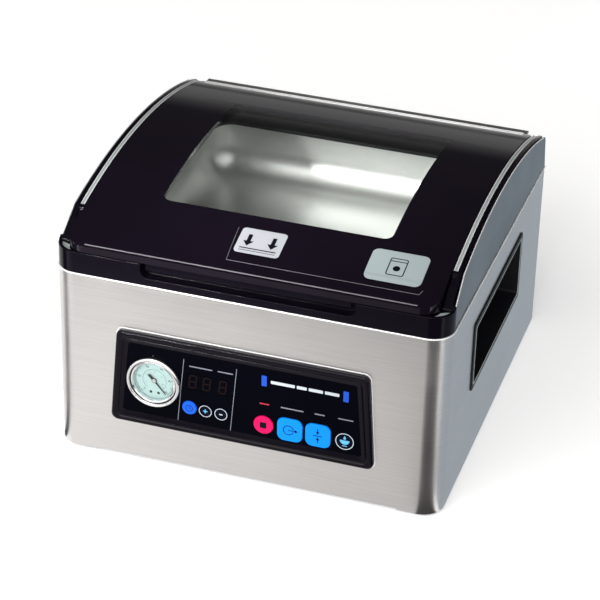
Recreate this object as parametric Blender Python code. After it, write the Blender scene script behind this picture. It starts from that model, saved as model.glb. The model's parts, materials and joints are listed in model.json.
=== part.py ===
"""Vacuum chamber sealer: a countertop machine with an arched, hinged lid over a drawn steel chamber.

Metres, +Z up, +X to the machine's right as its user sees it from the front, front at -Y.
The origin is on the standing surface, under the middle of the overall box.
"""
import math

import bmesh
import bpy
from mathutils import Vector

# ---- driving dimensions ----
GAP = 0.0003          # clearance between neighbouring pieces
WIDTH = 0.360         # steel body, side to side
DEPTH = 0.357         # steel body, front to rear
FRONT = -DEPTH / 2
REAR = DEPTH / 2
HALF = WIDTH / 2
PROUD = 0.007         # gauge ring in front and fan guard behind stand this far off the body
BOTTOM = 0.0025       # lower edge of the body sheet
SEAM = 0.185          # upper edge of the body sheet in front
SEAM_REAR = 0.1740    # and at the rear of its sides
SHEET = 0.0012
CORNER_R = 0.020

ARCH_R = 0.560        # barrel arch of lid and rims
ARCH_TOP = 0.239
ARCH_Y = -0.009       # the arch's highest line
KINK_Y = -0.130       # the rims leave the arch here and drop to the front band
BAND_TOP = 0.206
BAND_END_Y = -0.1585  # the front band wraps round the corners as far as this
RIM_FOOT_Y = -0.1630  # the rims' drop ends here on the band
RIM_OUT = 0.1762      # outer face of the moulded rim
RIM_STEP = 0.1726     # the trim strip lies inside this
POCKET_HALF = 0.1682  # half width of the lid's seat
POCKET_FRONT = -0.1655
PANEL_TOP_X = 0.1775  # side panel's outer face at the top, it leans in from HALF

LID_HALF = 0.1674
LID_REAR = 0.1680
LID_SKIRT = 0.1950    # lower edge of the lid's skirt
LID_LIP = 0.2068      # lower edge of the lid where it overhangs the front band
LID_WALL = 0.0043
WINDOW = (-0.1045, 0.1065, -0.1055, 0.0985)
WINDOW_R = 0.008

HINGE_Y = 0.1735
HINGE_Z = 0.2015
ROD_R = 0.0020

DECK = 0.1890         # upper face of the moulded deck round the chamber
TUB_TOP = 0.1905
TUB_FLOOR = 0.1380
TUB = (-0.146, 0.146, -0.145, 0.136)
TUB_CORNER_R = 0.030
TUB_FILLET_R = 0.026
FRAME_BOTTOM = 0.1965  # underside of the lid's inner frame
FRAME_TOP = 0.2000
LID_OPENING = (-0.128, 0.128, -0.108, 0.115)

BAR_Y = -0.128
BAR_HALF = 0.137
BAR_TOP = 0.1862
LIFT_X = 0.100

NOTCH_HALF = 0.0975   # finger notch in the front band
NOTCH_BOTTOM = 0.1925
NOTCH_BACK = -0.1690

BEZEL_X = -0.0030     # middle of the control bezel
BEZEL_TOP_Z = 0.137
BEZEL_BOTTOM_Z = 0.042
BEZEL_TOP_HALF = 0.1165
BEZEL_BOTTOM_HALF = 0.1225
BEZEL_RIM = 0.0065
BEZEL_FACE = -0.1835
PANEL_FACE = -0.1810
PANEL_BACK = -0.1790
GAUGE_X = -0.0848
GAUGE_Z = 0.0894
GAUGE_R = 0.0253
NEEDLE_REST_DEG = -50.0
BUTTON_FACE = -0.1822
SMALL_R = 0.0068
LARGE_R = 0.0092
SQUARE = 0.0235
SQUARE_R = 0.0065
SMALL_Z = 0.0691
LARGE_Z = 0.0666
BUTTONS = (("time", -0.0512, SMALL_Z, SMALL_R), ("plus", -0.0360, SMALL_Z, SMALL_R),
           ("minus", -0.0214, SMALL_Z, SMALL_R), ("stop", 0.0180, LARGE_Z, LARGE_R),
           ("vacuum_seal", 0.0424, LARGE_Z, None), ("seal", 0.0683, LARGE_Z, None),
           ("marinate", 0.0930, LARGE_Z, LARGE_R))
DISPLAY = (-0.0542, -0.0157, 0.0881, 0.1051)

GRIP = (-0.0865, 0.0920, 0.0785, 0.1485)   # side hand grip flange, y then z
GRIP_RIM = 0.0040
GRIP_WALL = 0.0016
GRIP_BACK = 0.160

PLATE_Z = 0.0125
PLATE_TOP = 0.0140
FOOT_X = 0.145
FOOT_Y = 0.140
FOOT_R = 0.011
FAN_X = 0.105
FAN_Z = 0.072
FAN_R = 0.0280
INLET = (-0.120, 0.046)   # x, z of the mains inlet in the rear panel
SWITCH = (-0.070, 0.046)


# ---- modelling helpers ----
def clear_scene():
    for item in list(bpy.data.objects):
        bpy.data.objects.remove(item, do_unlink=True)


def material(name, color, roughness, metallic=0.0, alpha=1.0):
    mat = bpy.data.materials.new(name)
    mat.use_nodes = True
    shader = mat.node_tree.nodes["Principled BSDF"]
    shader.inputs["Base Color"].default_value = (*color, 1.0)
    shader.inputs["Roughness"].default_value = roughness
    shader.inputs["Metallic"].default_value = metallic
    shader.inputs["Alpha"].default_value = alpha
    mat.diffuse_color = (*color, alpha)
    return mat


def place(u, v, w, axis):
    """A point with outline coordinates u, v and distance w along the axis."""
    return {"X": (w, u, v), "Y": (u, w, v), "Z": (u, v, w)}[axis]


def add(name, bm, mat, origin=(0, 0, 0), sharp=35.0):
    """Close the mesh up as a named object whose origin is at the given point."""
    bmesh.ops.recalc_face_normals(bm, faces=bm.faces[:])
    bmesh.ops.translate(bm, verts=bm.verts[:], vec=-Vector(origin))
    mesh = bpy.data.meshes.new(name)
    bm.to_mesh(mesh)
    bm.free()
    mesh.shade_smooth()
    mesh.set_sharp_from_angle(angle=math.radians(sharp))
    item = bpy.data.objects.new(name, mesh)
    item.location = origin
    bpy.context.collection.objects.link(item)
    if mat is not None:
        mesh.materials.append(mat)
    return item


def loft(rings, closed=False):
    """A solid through rings of equally many points, capped at both ends or closed on itself."""
    bm = bmesh.new()
    rows = [[bm.verts.new(point) for point in ring] for ring in rings]
    count = len(rows[0])
    pairs = list(zip(rows, rows[1:]))
    if closed:
        pairs.append((rows[-1], rows[0]))
    for lower, upper in pairs:
        for i in range(count):
            j = (i + 1) % count
            bm.faces.new((lower[i], lower[j], upper[j], upper[i]))
    if not closed:
        bm.faces.new(rows[0])
        bm.faces.new(rows[-1])
    return bm


def prism(outline, axis, low, high):
    return loft([[place(u, v, w, axis) for u, v in outline] for w in (low, high)])


def box(x0, x1, y0, y1, z0, z1):
    return prism([(x0, y0), (x1, y0), (x1, y1), (x0, y1)], "Z", z0, z1)


def arc(u, v, radius, start_deg, end_deg, steps):
    angles = [math.radians(start_deg + (end_deg - start_deg) * i / steps) for i in range(steps + 1)]
    return [(u + radius * math.cos(a), v + radius * math.sin(a)) for a in angles]


def rounded(u0, u1, v0, v1, radius, steps=6):
    """A rectangle with round corners, counter-clockwise from its lower left corner."""
    if radius <= 0:
        return [(u0, v0), (u1, v0), (u1, v1), (u0, v1)]
    return (arc(u0 + radius, v0 + radius, radius, 180, 270, steps)
            + arc(u1 - radius, v0 + radius, radius, 270, 360, steps)
            + arc(u1 - radius, v1 - radius, radius, 0, 90, steps)
            + arc(u0 + radius, v1 - radius, radius, 90, 180, steps))


def circle(u, v, radius, steps=32):
    return arc(u, v, radius, 0, 360, steps)[:-1]


def turned(profile, centre, axis, steps=32, closed=False):
    """Revolve (radius, distance along the axis) points about an axis through the centre."""
    u, v = centre
    rings = [[place(pu, pv, w, axis) for pu, pv in circle(u, v, r, steps)] for r, w in profile]
    return loft(rings, closed)


def tube(points, radius, sides=8):
    """A round tube along points, with flat ends."""
    path = [Vector(p) for p in points]
    rings = []
    side = Vector((0, 0, 1))
    for i, here in enumerate(path):
        run = (path[min(i + 1, len(path) - 1)] - path[max(i - 1, 0)]).normalized()
        across = run.cross(side)
        if across.length < 0.2:
            across = run.cross(Vector((0, 1, 0)))
        across.normalize()
        side = across.cross(run).normalized()
        ring = [here + radius * (math.cos(a) * across + math.sin(a) * side)
                for a in (2 * math.pi * k / sides for k in range(sides))]
        rings.append(ring)
    return loft(rings)


def smooth_path(points, steps=5):
    """A Catmull-Rom curve through the points."""
    path = [Vector(p) for p in points]
    padded = [2 * path[0] - path[1], *path, 2 * path[-1] - path[-2]]
    result = []
    for a, b, c, d in zip(padded, padded[1:], padded[2:], padded[3:]):
        for k in range(steps):
            t = k / steps
            result.append(0.5 * (2 * b + (c - a) * t + (2 * a - 5 * b + 4 * c - d) * t * t
                                 + (3 * b - a - 3 * c + d) * t ** 3))
    return result + [path[-1]]


def combine(item, bm, operation="DIFFERENCE"):
    """Cut a solid away from the object, join it on, or keep what the two share."""
    tool = add("cut_" + item.name + "_" + str(len(item.modifiers)), bm, None)
    tool.hide_render = True
    tool.display_type = "WIRE"
    step = item.modifiers.new("shape_" + str(len(item.modifiers)), "BOOLEAN")
    step.operation = operation
    step.solver = "EXACT"
    step.object = tool


def arch(y, drop=0.0):
    """Height of the barrel arch at y, measured square to its surface."""
    radius = ARCH_R - drop
    return ARCH_TOP - ARCH_R + math.sqrt(radius ** 2 - (y - ARCH_Y) ** 2)


def arch_line(y0, y1, drop=0.0, steps=24):
    return [(y, arch(y, drop)) for y in (y0 + (y1 - y0) * i / steps for i in range(steps + 1))]


# ---- body ----
def body_shell(mat):
    """Front and both sides, one bent sheet."""
    def path(inset):
        side = HALF - inset
        front = FRONT + inset
        radius = CORNER_R - inset
        return ([(-side, REAR)] + arc(-side + radius, front + radius, radius, 180, 270, 8)
                + arc(side - radius, front + radius, radius, 270, 360, 8) + [(side, REAR)])
    item = add("body_shell", prism(path(0) + path(SHEET)[::-1], "Z", BOTTOM, SEAM), mat)
    combine(item, prism(bezel_outline(0.010), "Y", FRONT - 0.01, FRONT + 0.01))
    y0, y1, z0, z1 = GRIP
    rim = GRIP_RIM - GAP
    combine(item, prism(rounded(y0 + rim, y1 - rim, z0 + rim, z1 - rim, 0.003, 3), "X", -0.2, 0.2))
    relief = 0.0015
    half = 0.141
    combine(item, box(-half, half, FRONT - 0.01, FRONT + 0.01, 0, BOTTOM + relief))
    slope = [(BAND_END_Y + 0.0010, SEAM), (REAR, SEAM_REAR), (REAR + 0.01, SEAM_REAR), (REAR + 0.01, 0.2),
             (BAND_END_Y + 0.0010, 0.2)]
    combine(item, prism(slope, "X", -0.2, 0.2))


def base_plate(mat):
    inset = SHEET + GAP
    outline = rounded(-HALF + inset, HALF - inset, FRONT + inset, REAR - inset, CORNER_R - inset, 4)
    item = add("base_plate", prism(outline, "Z", PLATE_Z, PLATE_TOP), mat)
    slots = 5
    pitch = 0.012
    for i in range(slots):
        x = 0.060 + pitch * i
        combine(item, prism(rounded(x, x + 0.005, -0.060, 0.000, 0.0024, 3), "Z", 0, 0.03))


def rear_panel(mat):
    side = HALF - SHEET - GAP
    item = add("rear_panel", box(-side, side, REAR - SHEET, REAR, BOTTOM, SEAM), mat)
    for outline in (circle(FAN_X, FAN_Z, FAN_R), inlet_outline(0.0), switch_outline(0.0)):
        combine(item, prism(outline, "Y", REAR - 0.01, REAR + 0.01))
    rows = 4
    for i in range(rows):
        z = 0.120 + 0.010 * i
        combine(item, prism(rounded(-0.130, -0.050, z, z + 0.004, 0.0019, 3), "Y", REAR - 0.01, REAR + 0.01))


def upper_frame(mat):
    """Moulded ring round the lid: front band, both rims, hinge shelf and chamber deck."""
    front = FRONT - 0.0008
    rear = REAR - 0.002
    radius = CORNER_R + 0.0003
    shoulder = 0.0060
    outline = (arc(-HALF + radius, front + radius, radius, 180, 270, 10)
               + arc(HALF - radius, front + radius, radius, 270, 360, 10)
               + [(HALF, BAND_END_Y), (RIM_OUT, BAND_END_Y + shoulder * 0.2), (RIM_OUT, rear),
                  (-RIM_OUT, rear), (-RIM_OUT, BAND_END_Y + shoulder * 0.2), (-HALF, BAND_END_Y)])
    item = add("upper_frame", prism(outline, "Z", SEAM + GAP, 0.26), mat)
    curl = 0.006
    side = ([(front - 0.01, 0.15), (rear + 0.01, 0.15), (rear + 0.01, arch(rear) - curl)]
            + arc(rear - curl, arch(rear - curl) - curl - 0.0005, curl, 0, 85, 4)
            + arch_line(rear - 2 * curl, KINK_Y) + [(RIM_FOOT_Y, BAND_TOP), (front - 0.01, BAND_TOP)])
    combine(item, prism(side, "X", -0.2, 0.2), "INTERSECT")
    seat = [(POCKET_FRONT, DECK), (LID_REAR + 0.001, DECK), (LID_REAR + 0.001, HINGE_Z - 0.0078),
            (0.2, HINGE_Z - 0.0078), (0.2, 0.3), (POCKET_FRONT, 0.3)]
    combine(item, prism(seat, "X", -POCKET_HALF, POCKET_HALF))
    wall = SHEET + GAP
    x0, x1, y0, y1 = TUB
    hole = rounded(x0 - wall, x1 + wall, y0 - wall, y1 + wall, TUB_CORNER_R + wall, 8)
    combine(item, prism(hole, "Z", 0.15, 0.195))
    for sign in (-1, 1):
        step = arch_line(KINK_Y + 0.0005, 0.19, 0.008) + [(0.19, 0.3), (KINK_Y + 0.0005, 0.3)]
        ends = sorted((sign * (POCKET_HALF - 0.002), sign * RIM_STEP))
        combine(item, prism(step, "X", *ends))
        bead = 0.0030
        ledge = arc(HALF - radius, front + radius, radius - bead, 270, 350, 8)
        ledge += [(POCKET_HALF - 0.012, ledge[-1][1]), (POCKET_HALF - 0.012, front + bead)]
        combine(item, prism([(sign * x, y) for x, y in ledge], "Z", BAND_TOP - 0.0028, 0.26))
        slope = (arch(KINK_Y) - BAND_TOP) / (KINK_Y - RIM_FOOT_Y)
        groove = [(KINK_Y + y, arch(KINK_Y) + slope * y + z)
                  for y, z in ((-0.0115, -0.0018), (-0.0030, -0.0018), (-0.0030, 0.01), (-0.0115, 0.01))]
        combine(item, prism(groove, "X", *ends))
    notch = rounded(-NOTCH_HALF, NOTCH_HALF, NOTCH_BOTTOM, 0.25, 0.007, 6)
    combine(item, prism(notch, "Y", FRONT - 0.02, NOTCH_BACK))


def side_panel(name, sign, mat):
    """Upper side panel of bent sheet: leans in from the seam to the rim's top line."""
    low = SEAM + GAP
    thick = 0.0010
    start = BAND_END_Y + 0.0016
    top = 0.0012
    low_rear = SEAM_REAR + GAP
    outline = ([(start, low), (REAR, low_rear), (REAR, arch(REAR) - 0.007)]
               + arc(REAR - 0.006, arch(REAR - 0.006) - 0.0075, 0.006, 0, 80, 4)
               + [(y, z - top) for y, z in arch_line(REAR - 0.012, KINK_Y)]
               + [(start, BAND_TOP + 0.0015)])
    lean = (HALF - PANEL_TOP_X) / (ARCH_TOP - low_rear)
    rings = []
    for inset in (0, thick):
        rings.append([(sign * (HALF - lean * (z - low_rear) - inset), y, z) for y, z in outline])
    add(name, loft(rings), mat)


def trim_strip(name, sign, mat):
    """Light strip let into the rim beside the lid."""
    y0 = KINK_Y + 0.0010
    y1 = REAR - 0.0095
    outline = arch_line(y0, y1, 0.0003) + arch_line(y1, y0, 0.0077)
    ends = sorted((sign * (POCKET_HALF + GAP), sign * (RIM_STEP - GAP)))
    add(name, prism(outline, "X", *ends), mat)


def hand_grip(name, sign, mat):
    """Moulded cup set into the side for lifting, with a flange on the sheet."""
    y0, y1, z0, z1 = GRIP
    face = HALF + 0.0015
    outer = GRIP_RIM
    inner = GRIP_RIM + GRIP_WALL
    steps = [(inner, GRIP_BACK + GRIP_WALL), (inner, face - 0.0004), (inner - 0.0004, face),
             (0.0004, face), (0, face - 0.0004), (0, HALF + GAP), (outer, HALF + GAP), (outer, GRIP_BACK)]
    rings = []
    for inset, x in steps:
        outline = rounded(y0 + inset, y1 - inset, z0 + inset, z1 - inset, 0.003, 3)
        rings.append([(sign * x, y, z) for y, z in outline])
    add(name, loft(rings), mat)


def foot(name, x, y, mat):
    profile = [(FOOT_R * 0.85, 0.0), (FOOT_R, 0.001), (FOOT_R * 1.1, PLATE_Z - GAP)]
    add(name, turned(profile, (x, y), "Z", 20), mat)


# ---- chamber ----
def vacuum_chamber(mat):
    """Deep-drawn tub with a flat flange, round corners and a filleted floor."""
    x0, x1, y0, y1 = TUB
    steps = 8

    def ring(grow, z, fillet_inset=0.0):
        radius = max(TUB_CORNER_R + grow - fillet_inset, 0.004)
        shift = grow - fillet_inset
        return [(x, y, z) for x, y in rounded(x0 - shift, x1 + shift, y0 - shift, y1 + shift, radius, steps)]

    def wall(grow, floor, top):
        radius = TUB_FILLET_R + grow
        bends = [ring(grow, floor + radius - radius * math.sin(math.radians(a)),
                      radius - radius * math.cos(math.radians(a))) for a in (90, 67.5, 45, 22.5, 0)]
        return bends + [ring(grow, top)]
    flange = 0.0145
    rings = wall(0, TUB_FLOOR, TUB_TOP - 0.002)
    rings += [ring(0.0008, TUB_TOP), ring(flange, TUB_TOP), ring(flange, TUB_TOP - SHEET)]
    rings += wall(SHEET, TUB_FLOOR - SHEET, TUB_TOP - SHEET)[::-1]
    add("vacuum_chamber", loft(rings), mat)


def lift_parts(side, sign, metal, steel):
    """Lift cylinder on the chamber floor and the rod under the seal bar."""
    centre = (sign * LIFT_X, BAR_Y)
    base = 0.1450
    top = 0.1560
    bore = 0.0044
    cup = [(bore, base + 0.003), (bore, top), (0.0075, top), (0.008, top - 0.001), (0.008, base),
           (0.003, base), (0.003, base - 0.0036)]
    add("lift_cylinder_" + side, turned(cup, centre, "Z", 20), metal)
    rod = [(0.004, base + 0.0035), (0.004, 0.1570)]
    add("lift_rod_" + side, turned(rod, centre, "Z", 16), steel)


def seal_bar(metal, strip):
    low = 0.1573
    section = [(BAR_Y - 0.006, low), (BAR_Y + 0.006, low), (BAR_Y + 0.006, BAR_TOP - 0.002),
               (BAR_Y + 0.0045, BAR_TOP - 0.0008), (BAR_Y - 0.0045, BAR_TOP - 0.0008),
               (BAR_Y - 0.006, BAR_TOP - 0.002)]
    add("seal_bar", prism(section, "X", -BAR_HALF, BAR_HALF), metal)
    half = BAR_HALF - 0.001
    wire = box(-half, half, BAR_Y - 0.003, BAR_Y + 0.003, BAR_TOP - 0.0005, BAR_TOP)
    add("heating_strip", wire, strip)


# ---- lid ----
def lid_outline(inset, front):
    """Plan of the lid: large round corners in front, small ones behind."""
    side = LID_HALF - inset
    rear = LID_REAR - inset
    radius = 0.016 - inset
    return (arc(-side + radius, front + inset + radius, radius, 180, 270, 8)
            + arc(side - radius, front + inset + radius, radius, 270, 360, 8)
            + [(side, rear - 0.004), (side - 0.004, rear), (-side + 0.004, rear), (-side, rear - 0.004)])


def lid_shell(mat):
    """Arched black lid with skirts, hollow underneath."""
    item = add("lid_shell", prism(lid_outline(0, FRONT), "Z", LID_SKIRT, 0.26), mat)
    top = arch_line(LID_REAR + 0.02, FRONT - 0.02, 0.0, 30)
    combine(item, prism([(FRONT - 0.02, 0.15), (LID_REAR + 0.02, 0.15)] + top, "X", -0.2, 0.2), "INTERSECT")
    front = POCKET_FRONT + 0.0008
    combine(item, box(-0.2, 0.2, FRONT - 0.02, front, 0.15, LID_LIP))
    inner = arch_line(LID_REAR - LID_WALL, front + LID_WALL, LID_WALL, 26)
    hollow = [(front + LID_WALL, 0.15), (LID_REAR - LID_WALL, 0.15)] + inner
    side = LID_HALF - LID_WALL
    combine(item, prism(hollow, "X", -side, side))
    combine(item, prism(rounded(*WINDOW, WINDOW_R, 6), "Z", 0.2, 0.28))


def lid_window(mat):
    """Clear pane, flush with the arch."""
    x0, x1, y0, y1 = WINDOW
    pane = rounded(x0 + GAP, x1 - GAP, y0 + GAP, y1 - GAP, WINDOW_R - GAP, 6)
    item = add("lid_window", prism(pane, "Z", 0.21, 0.26), mat)
    section = arch_line(y0 - 0.01, y1 + 0.01, 0.0001, 18) + arch_line(y1 + 0.01, y0 - 0.01, LID_WALL, 18)
    combine(item, prism(section, "X", -0.2, 0.2), "INTERSECT")


def lid_handle(mat):
    """Finger lip under the lid's front edge."""
    half = NOTCH_HALF - 0.0045
    front = FRONT + 0.0010
    lip = 0.1997
    top = LID_LIP - GAP
    section = [(front, lip + 0.001), (front + 0.001, lip), (front + 0.0025, lip),
               (front + 0.0032, lip + 0.0007),
               (front + 0.0032, top - 0.0022), (NOTCH_BACK - 0.0007, top - 0.0022),
               (NOTCH_BACK - 0.0007, top), (front, top)]
    add("lid_handle", prism(section, "X", -half, half), mat)


def flat_ring(outer, inner, z0, z1, outer_r, inner_r, steps=6):
    rings = []
    corners = ((outer, outer_r, z0), (outer, outer_r, z1), (inner, inner_r, z1), (inner, inner_r, z0))
    for bounds, radius, z in corners:
        rings.append([(x, y, z) for x, y in rounded(*bounds, radius, steps)])
    return loft(rings, closed=True)


def lid_inner_parts(frame_mat, rubber):
    side = LID_HALF - LID_WALL - GAP
    front = POCKET_FRONT + 0.0008 + LID_WALL + GAP
    outer = (-side, side, front, LID_REAR - LID_WALL - GAP)
    add("lid_frame", flat_ring(outer, LID_OPENING, FRAME_BOTTOM, FRAME_TOP, 0.003, 0.018), frame_mat)
    x0, x1, y0, y1 = TUB
    near = 0.0045
    far = 0.0120
    seal_out = (x0 - far, x1 + far, y0 - far, y1 + far)
    seal_in = (x0 - near, x1 + near, y0 - near, y1 + near)
    low = TUB_TOP + GAP
    high = FRAME_BOTTOM - GAP
    seal = flat_ring(seal_out, seal_in, low, high, TUB_CORNER_R + far, TUB_CORNER_R + near, 8)
    add("lid_gasket", seal, rubber)
    counter = box(-BAR_HALF - 0.002, BAR_HALF + 0.002, BAR_Y - 0.007, BAR_Y + 0.007, 0.1933, high)
    add("counter_strip", counter, rubber)


def hinge(aluminium, steel):
    """Aluminium hinge profile on the lid, steel rod through it, and a bracket at each end."""
    knuckle = 0.0042
    half = 0.1545
    bore = ROD_R + GAP
    steps = 16
    leaf = LID_REAR + GAP
    cap_half = 0.1620
    ring = arc(HINGE_Y, HINGE_Z, knuckle, -90, 55, 10)
    section = ([(leaf, HINGE_Z - 0.0045), (leaf + 0.0012, HINGE_Z - 0.0045), (HINGE_Y, HINGE_Z - knuckle)]
               + ring[1:] + [(HINGE_Y + 0.0015, HINGE_Z + 0.0055), (HINGE_Y + 0.0045, HINGE_Z + 0.0055),
                             (HINGE_Y + 0.0045, HINGE_Z + 0.0072), (leaf + 0.0008, HINGE_Z + 0.0078),
                             (leaf, HINGE_Z + 0.0070)])
    item = add("hinge_profile", prism(section, "X", -cap_half, cap_half), aluminium, (0, HINGE_Y, HINGE_Z))
    for sign in (-1, 1):
        ends = sorted((sign * half, sign * 0.2))
        combine(item, prism([(LID_REAR - 0.01, 0.19), (0.19, 0.19), (0.19, HINGE_Z + 0.0053),
                             (LID_REAR - 0.01, HINGE_Z + 0.0053)], "X", *ends))
    combine(item, prism(circle(HINGE_Y, HINGE_Z, bore, steps), "X", -0.2, 0.2))
    rod_half = 0.1585
    add("hinge_rod", prism(circle(HINGE_Y, HINGE_Z, ROD_R, steps), "X", -rod_half, rod_half), steel)
    low = HINGE_Z - 0.0078 + GAP
    for side, sign in (("left", -1), ("right", 1)):
        ends = sorted((sign * (half + GAP), sign * 0.1590))
        ear = [(HINGE_Y - 0.0036, low), (HINGE_Y + 0.0036, low)] + arc(HINGE_Y, HINGE_Z, 0.0042, -20, 200, 10)
        bracket = add("hinge_bracket_" + side, prism(ear, "X", *ends), steel)
        combine(bracket, prism(circle(HINGE_Y, HINGE_Z, bore, steps), "X", -0.2, 0.2))


# ---- controls ----
def bezel_outline(inset, radius=0.006, steps=4):
    """Trapezoid of the control panel, wider at its foot, with round corners."""
    low = (BEZEL_BOTTOM_HALF - inset, BEZEL_BOTTOM_Z + inset)
    high = (BEZEL_TOP_HALF - inset, BEZEL_TOP_Z - inset)
    corners = [(-low[0], low[1]), (low[0], low[1]), (high[0], high[1]), (-high[0], high[1])]
    outline = []
    for (x, z), start in zip(corners, (180, 270, 0, 90)):
        cx = x + radius * (1 if x < 0 else -1)
        cz = z + radius * (1 if z == low[1] else -1)
        outline += arc(cx + BEZEL_X, cz, radius, start, start + 90, steps)
    return outline


def control_bezel(mat):
    """Raised frame, its inner side stepped down to the panel."""
    back = FRONT - GAP
    steps = [(0.0, back), (0.0, BEZEL_FACE + 0.0015), (0.0015, BEZEL_FACE), (0.0042, BEZEL_FACE),
             (0.0052, BEZEL_FACE + 0.0012), (BEZEL_RIM, BEZEL_FACE + 0.0012), (BEZEL_RIM, back)]
    rings = [[(x, y, z) for x, z in bezel_outline(inset)] for inset, y in steps]
    add("control_bezel", loft(rings, closed=True), mat)


def button_outline(x, z, radius, grow):
    if radius is None:
        half = SQUARE / 2 + grow
        return rounded(x - half, x + half, z - half, z + half, SQUARE_R + grow, 5)
    return circle(x, z, radius + grow, 28)


def control_panel(mat):
    item = add("control_panel", prism(bezel_outline(BEZEL_RIM + GAP), "Y", PANEL_FACE, PANEL_BACK), mat)
    holes = [button_outline(x, z, radius, GAP) for _, x, z, radius in BUTTONS]
    holes += [circle(GAUGE_X, GAUGE_Z, GAUGE_R - 0.0008, 40), rounded(*DISPLAY, 0.001, 3)]
    for outline in holes:
        combine(item, prism(outline, "Y", PANEL_FACE - 0.01, PANEL_BACK + 0.01))


def buttons(mats):
    """Caps that press straight in, their rims chamfered."""
    back = -0.1770
    for name, x, z, radius in BUTTONS:
        edge = 0.0006
        rings = [(0.0, back), (0.0, BUTTON_FACE + edge), (-edge, BUTTON_FACE)]
        cap = loft([[(u, y, v) for u, v in button_outline(x, z, radius, grow)] for grow, y in rings])
        add("button_" + name, cap, mats[name], (x, BUTTON_FACE, z))


def display(pane_mat):
    x0, x1, z0, z1 = DISPLAY
    pane = rounded(x0 + GAP, x1 - GAP, z0 + GAP, z1 - GAP, 0.0008, 3)
    add("display_window", prism(pane, "Y", PANEL_FACE, PANEL_BACK + 0.0002), pane_mat)


def gauge(case_mat, ring_mat, dial_mat, needle_mat, lens_mat):
    """Dial gauge: case, dial, pointer, lens and snap ring."""
    centre = (GAUGE_X, GAUGE_Z)
    case_r = GAUGE_R - 0.0012
    cup_r = 0.0225
    rear = -0.1520
    cup = [(cup_r, -0.1780), (cup_r, -0.1812), (case_r, -0.1812), (case_r, rear - 0.006),
           (case_r - 0.003, rear)]
    add("gauge_case", turned(cup, centre, "Y", 40), case_mat)
    dial_r = cup_r - GAP
    add("gauge_dial", turned([(dial_r, -0.1784), (dial_r, -0.1792)], centre, "Y", 40), dial_mat)
    low = -0.1806
    high = -0.1798
    reach = 0.0165
    hub = arc(0, 0, 0.0024, 20, 340, 12)
    tail = -0.006
    pointer = [(reach, 0.0002), (0.0024, 0.0007)] + hub[:6] + [(tail, 0.0009), (tail, -0.0009)] + hub[-6:]
    pointer += [(0.0024, -0.0007), (reach, -0.0002)]
    turn = math.radians(NEEDLE_REST_DEG)
    rings = []
    for y in (low, high):
        ring = []
        for u, v in pointer:
            x = u * math.cos(turn) - v * math.sin(turn)
            z = u * math.sin(turn) + v * math.cos(turn)
            ring.append((GAUGE_X + x, y, GAUGE_Z + z))
        rings.append(ring)
    add("gauge_needle", loft(rings), needle_mat, (GAUGE_X, low, GAUGE_Z))
    lens_r = 0.0219
    lens = [(lens_r, -0.1826), (lens_r, -0.1836), (0.012, -0.1842)]
    add("gauge_lens", turned(lens, centre, "Y", 40), lens_mat)
    face = FRONT - PROUD
    inner = lens_r + GAP
    ring = [(inner, -0.1816), (inner, -0.1845), (inner + 0.001, face), (GAUGE_R - 0.0012, face),
            (GAUGE_R, face + 0.0015), (GAUGE_R, -0.1816)]
    add("gauge_ring", turned(ring, centre, "Y", 40, closed=True), ring_mat)


def boards(mat):
    add("control_board", box(-0.056, 0.104, -0.1652, -0.1636, 0.046, 0.126), mat)


# ---- machinery in the bay under the chamber ----
def pump(motor_mat, head_mat):
    """Oil-free vacuum pump: a finned head standing on the base, its motor flanged to it."""
    y = 0.035
    z = 0.062
    radius = 0.036
    ends = [(0.022, 0.0905), (0.030, 0.089), (radius, 0.082), (radius, -0.0150)]
    add("pump_motor", turned(ends, (y, z), "X", 28), motor_mat)
    head = rounded(y - 0.042, y + 0.042, PLATE_TOP + GAP, 0.104, 0.010, 4)
    item = add("pump_head", prism(head, "X", -0.085, -0.0153), head_mat)
    fins = 5
    for i in range(fins):
        x = -0.078 + 0.012 * i
        combine(item, box(x, x + 0.004, y - 0.05, y + 0.05, 0.092, 0.12))


def transformer(core_mat, coil_mat):
    """Seal transformer: laminated core with two windows and a coil round the middle leg."""
    x0, x1, z0, z1 = 0.096, 0.160, PLATE_TOP + GAP, 0.066
    y0, y1 = -0.120, -0.092
    item = add("transformer_core", box(x0, x1, y0, y1, z0, z1), core_mat)
    leg = 0.010
    mid = (x0 + x1) / 2
    for low, high in ((x0 + leg, mid - leg), (mid + leg, x1 - leg)):
        combine(item, box(low, high, y0 - 0.01, y1 + 0.01, z0 + leg, z1 - leg))
    near = GAP
    far = 0.0105
    inner = (mid - leg - near, mid + leg + near, y0 - near, y1 + near)
    outer = (mid - leg - far, mid + leg + far, y0 - far, y1 + far)
    coil = flat_ring(outer, inner, z0 + leg + GAP, z1 - leg - GAP, 0.004, 0.0002, 3)
    add("transformer_coil", coil, coil_mat)


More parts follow.
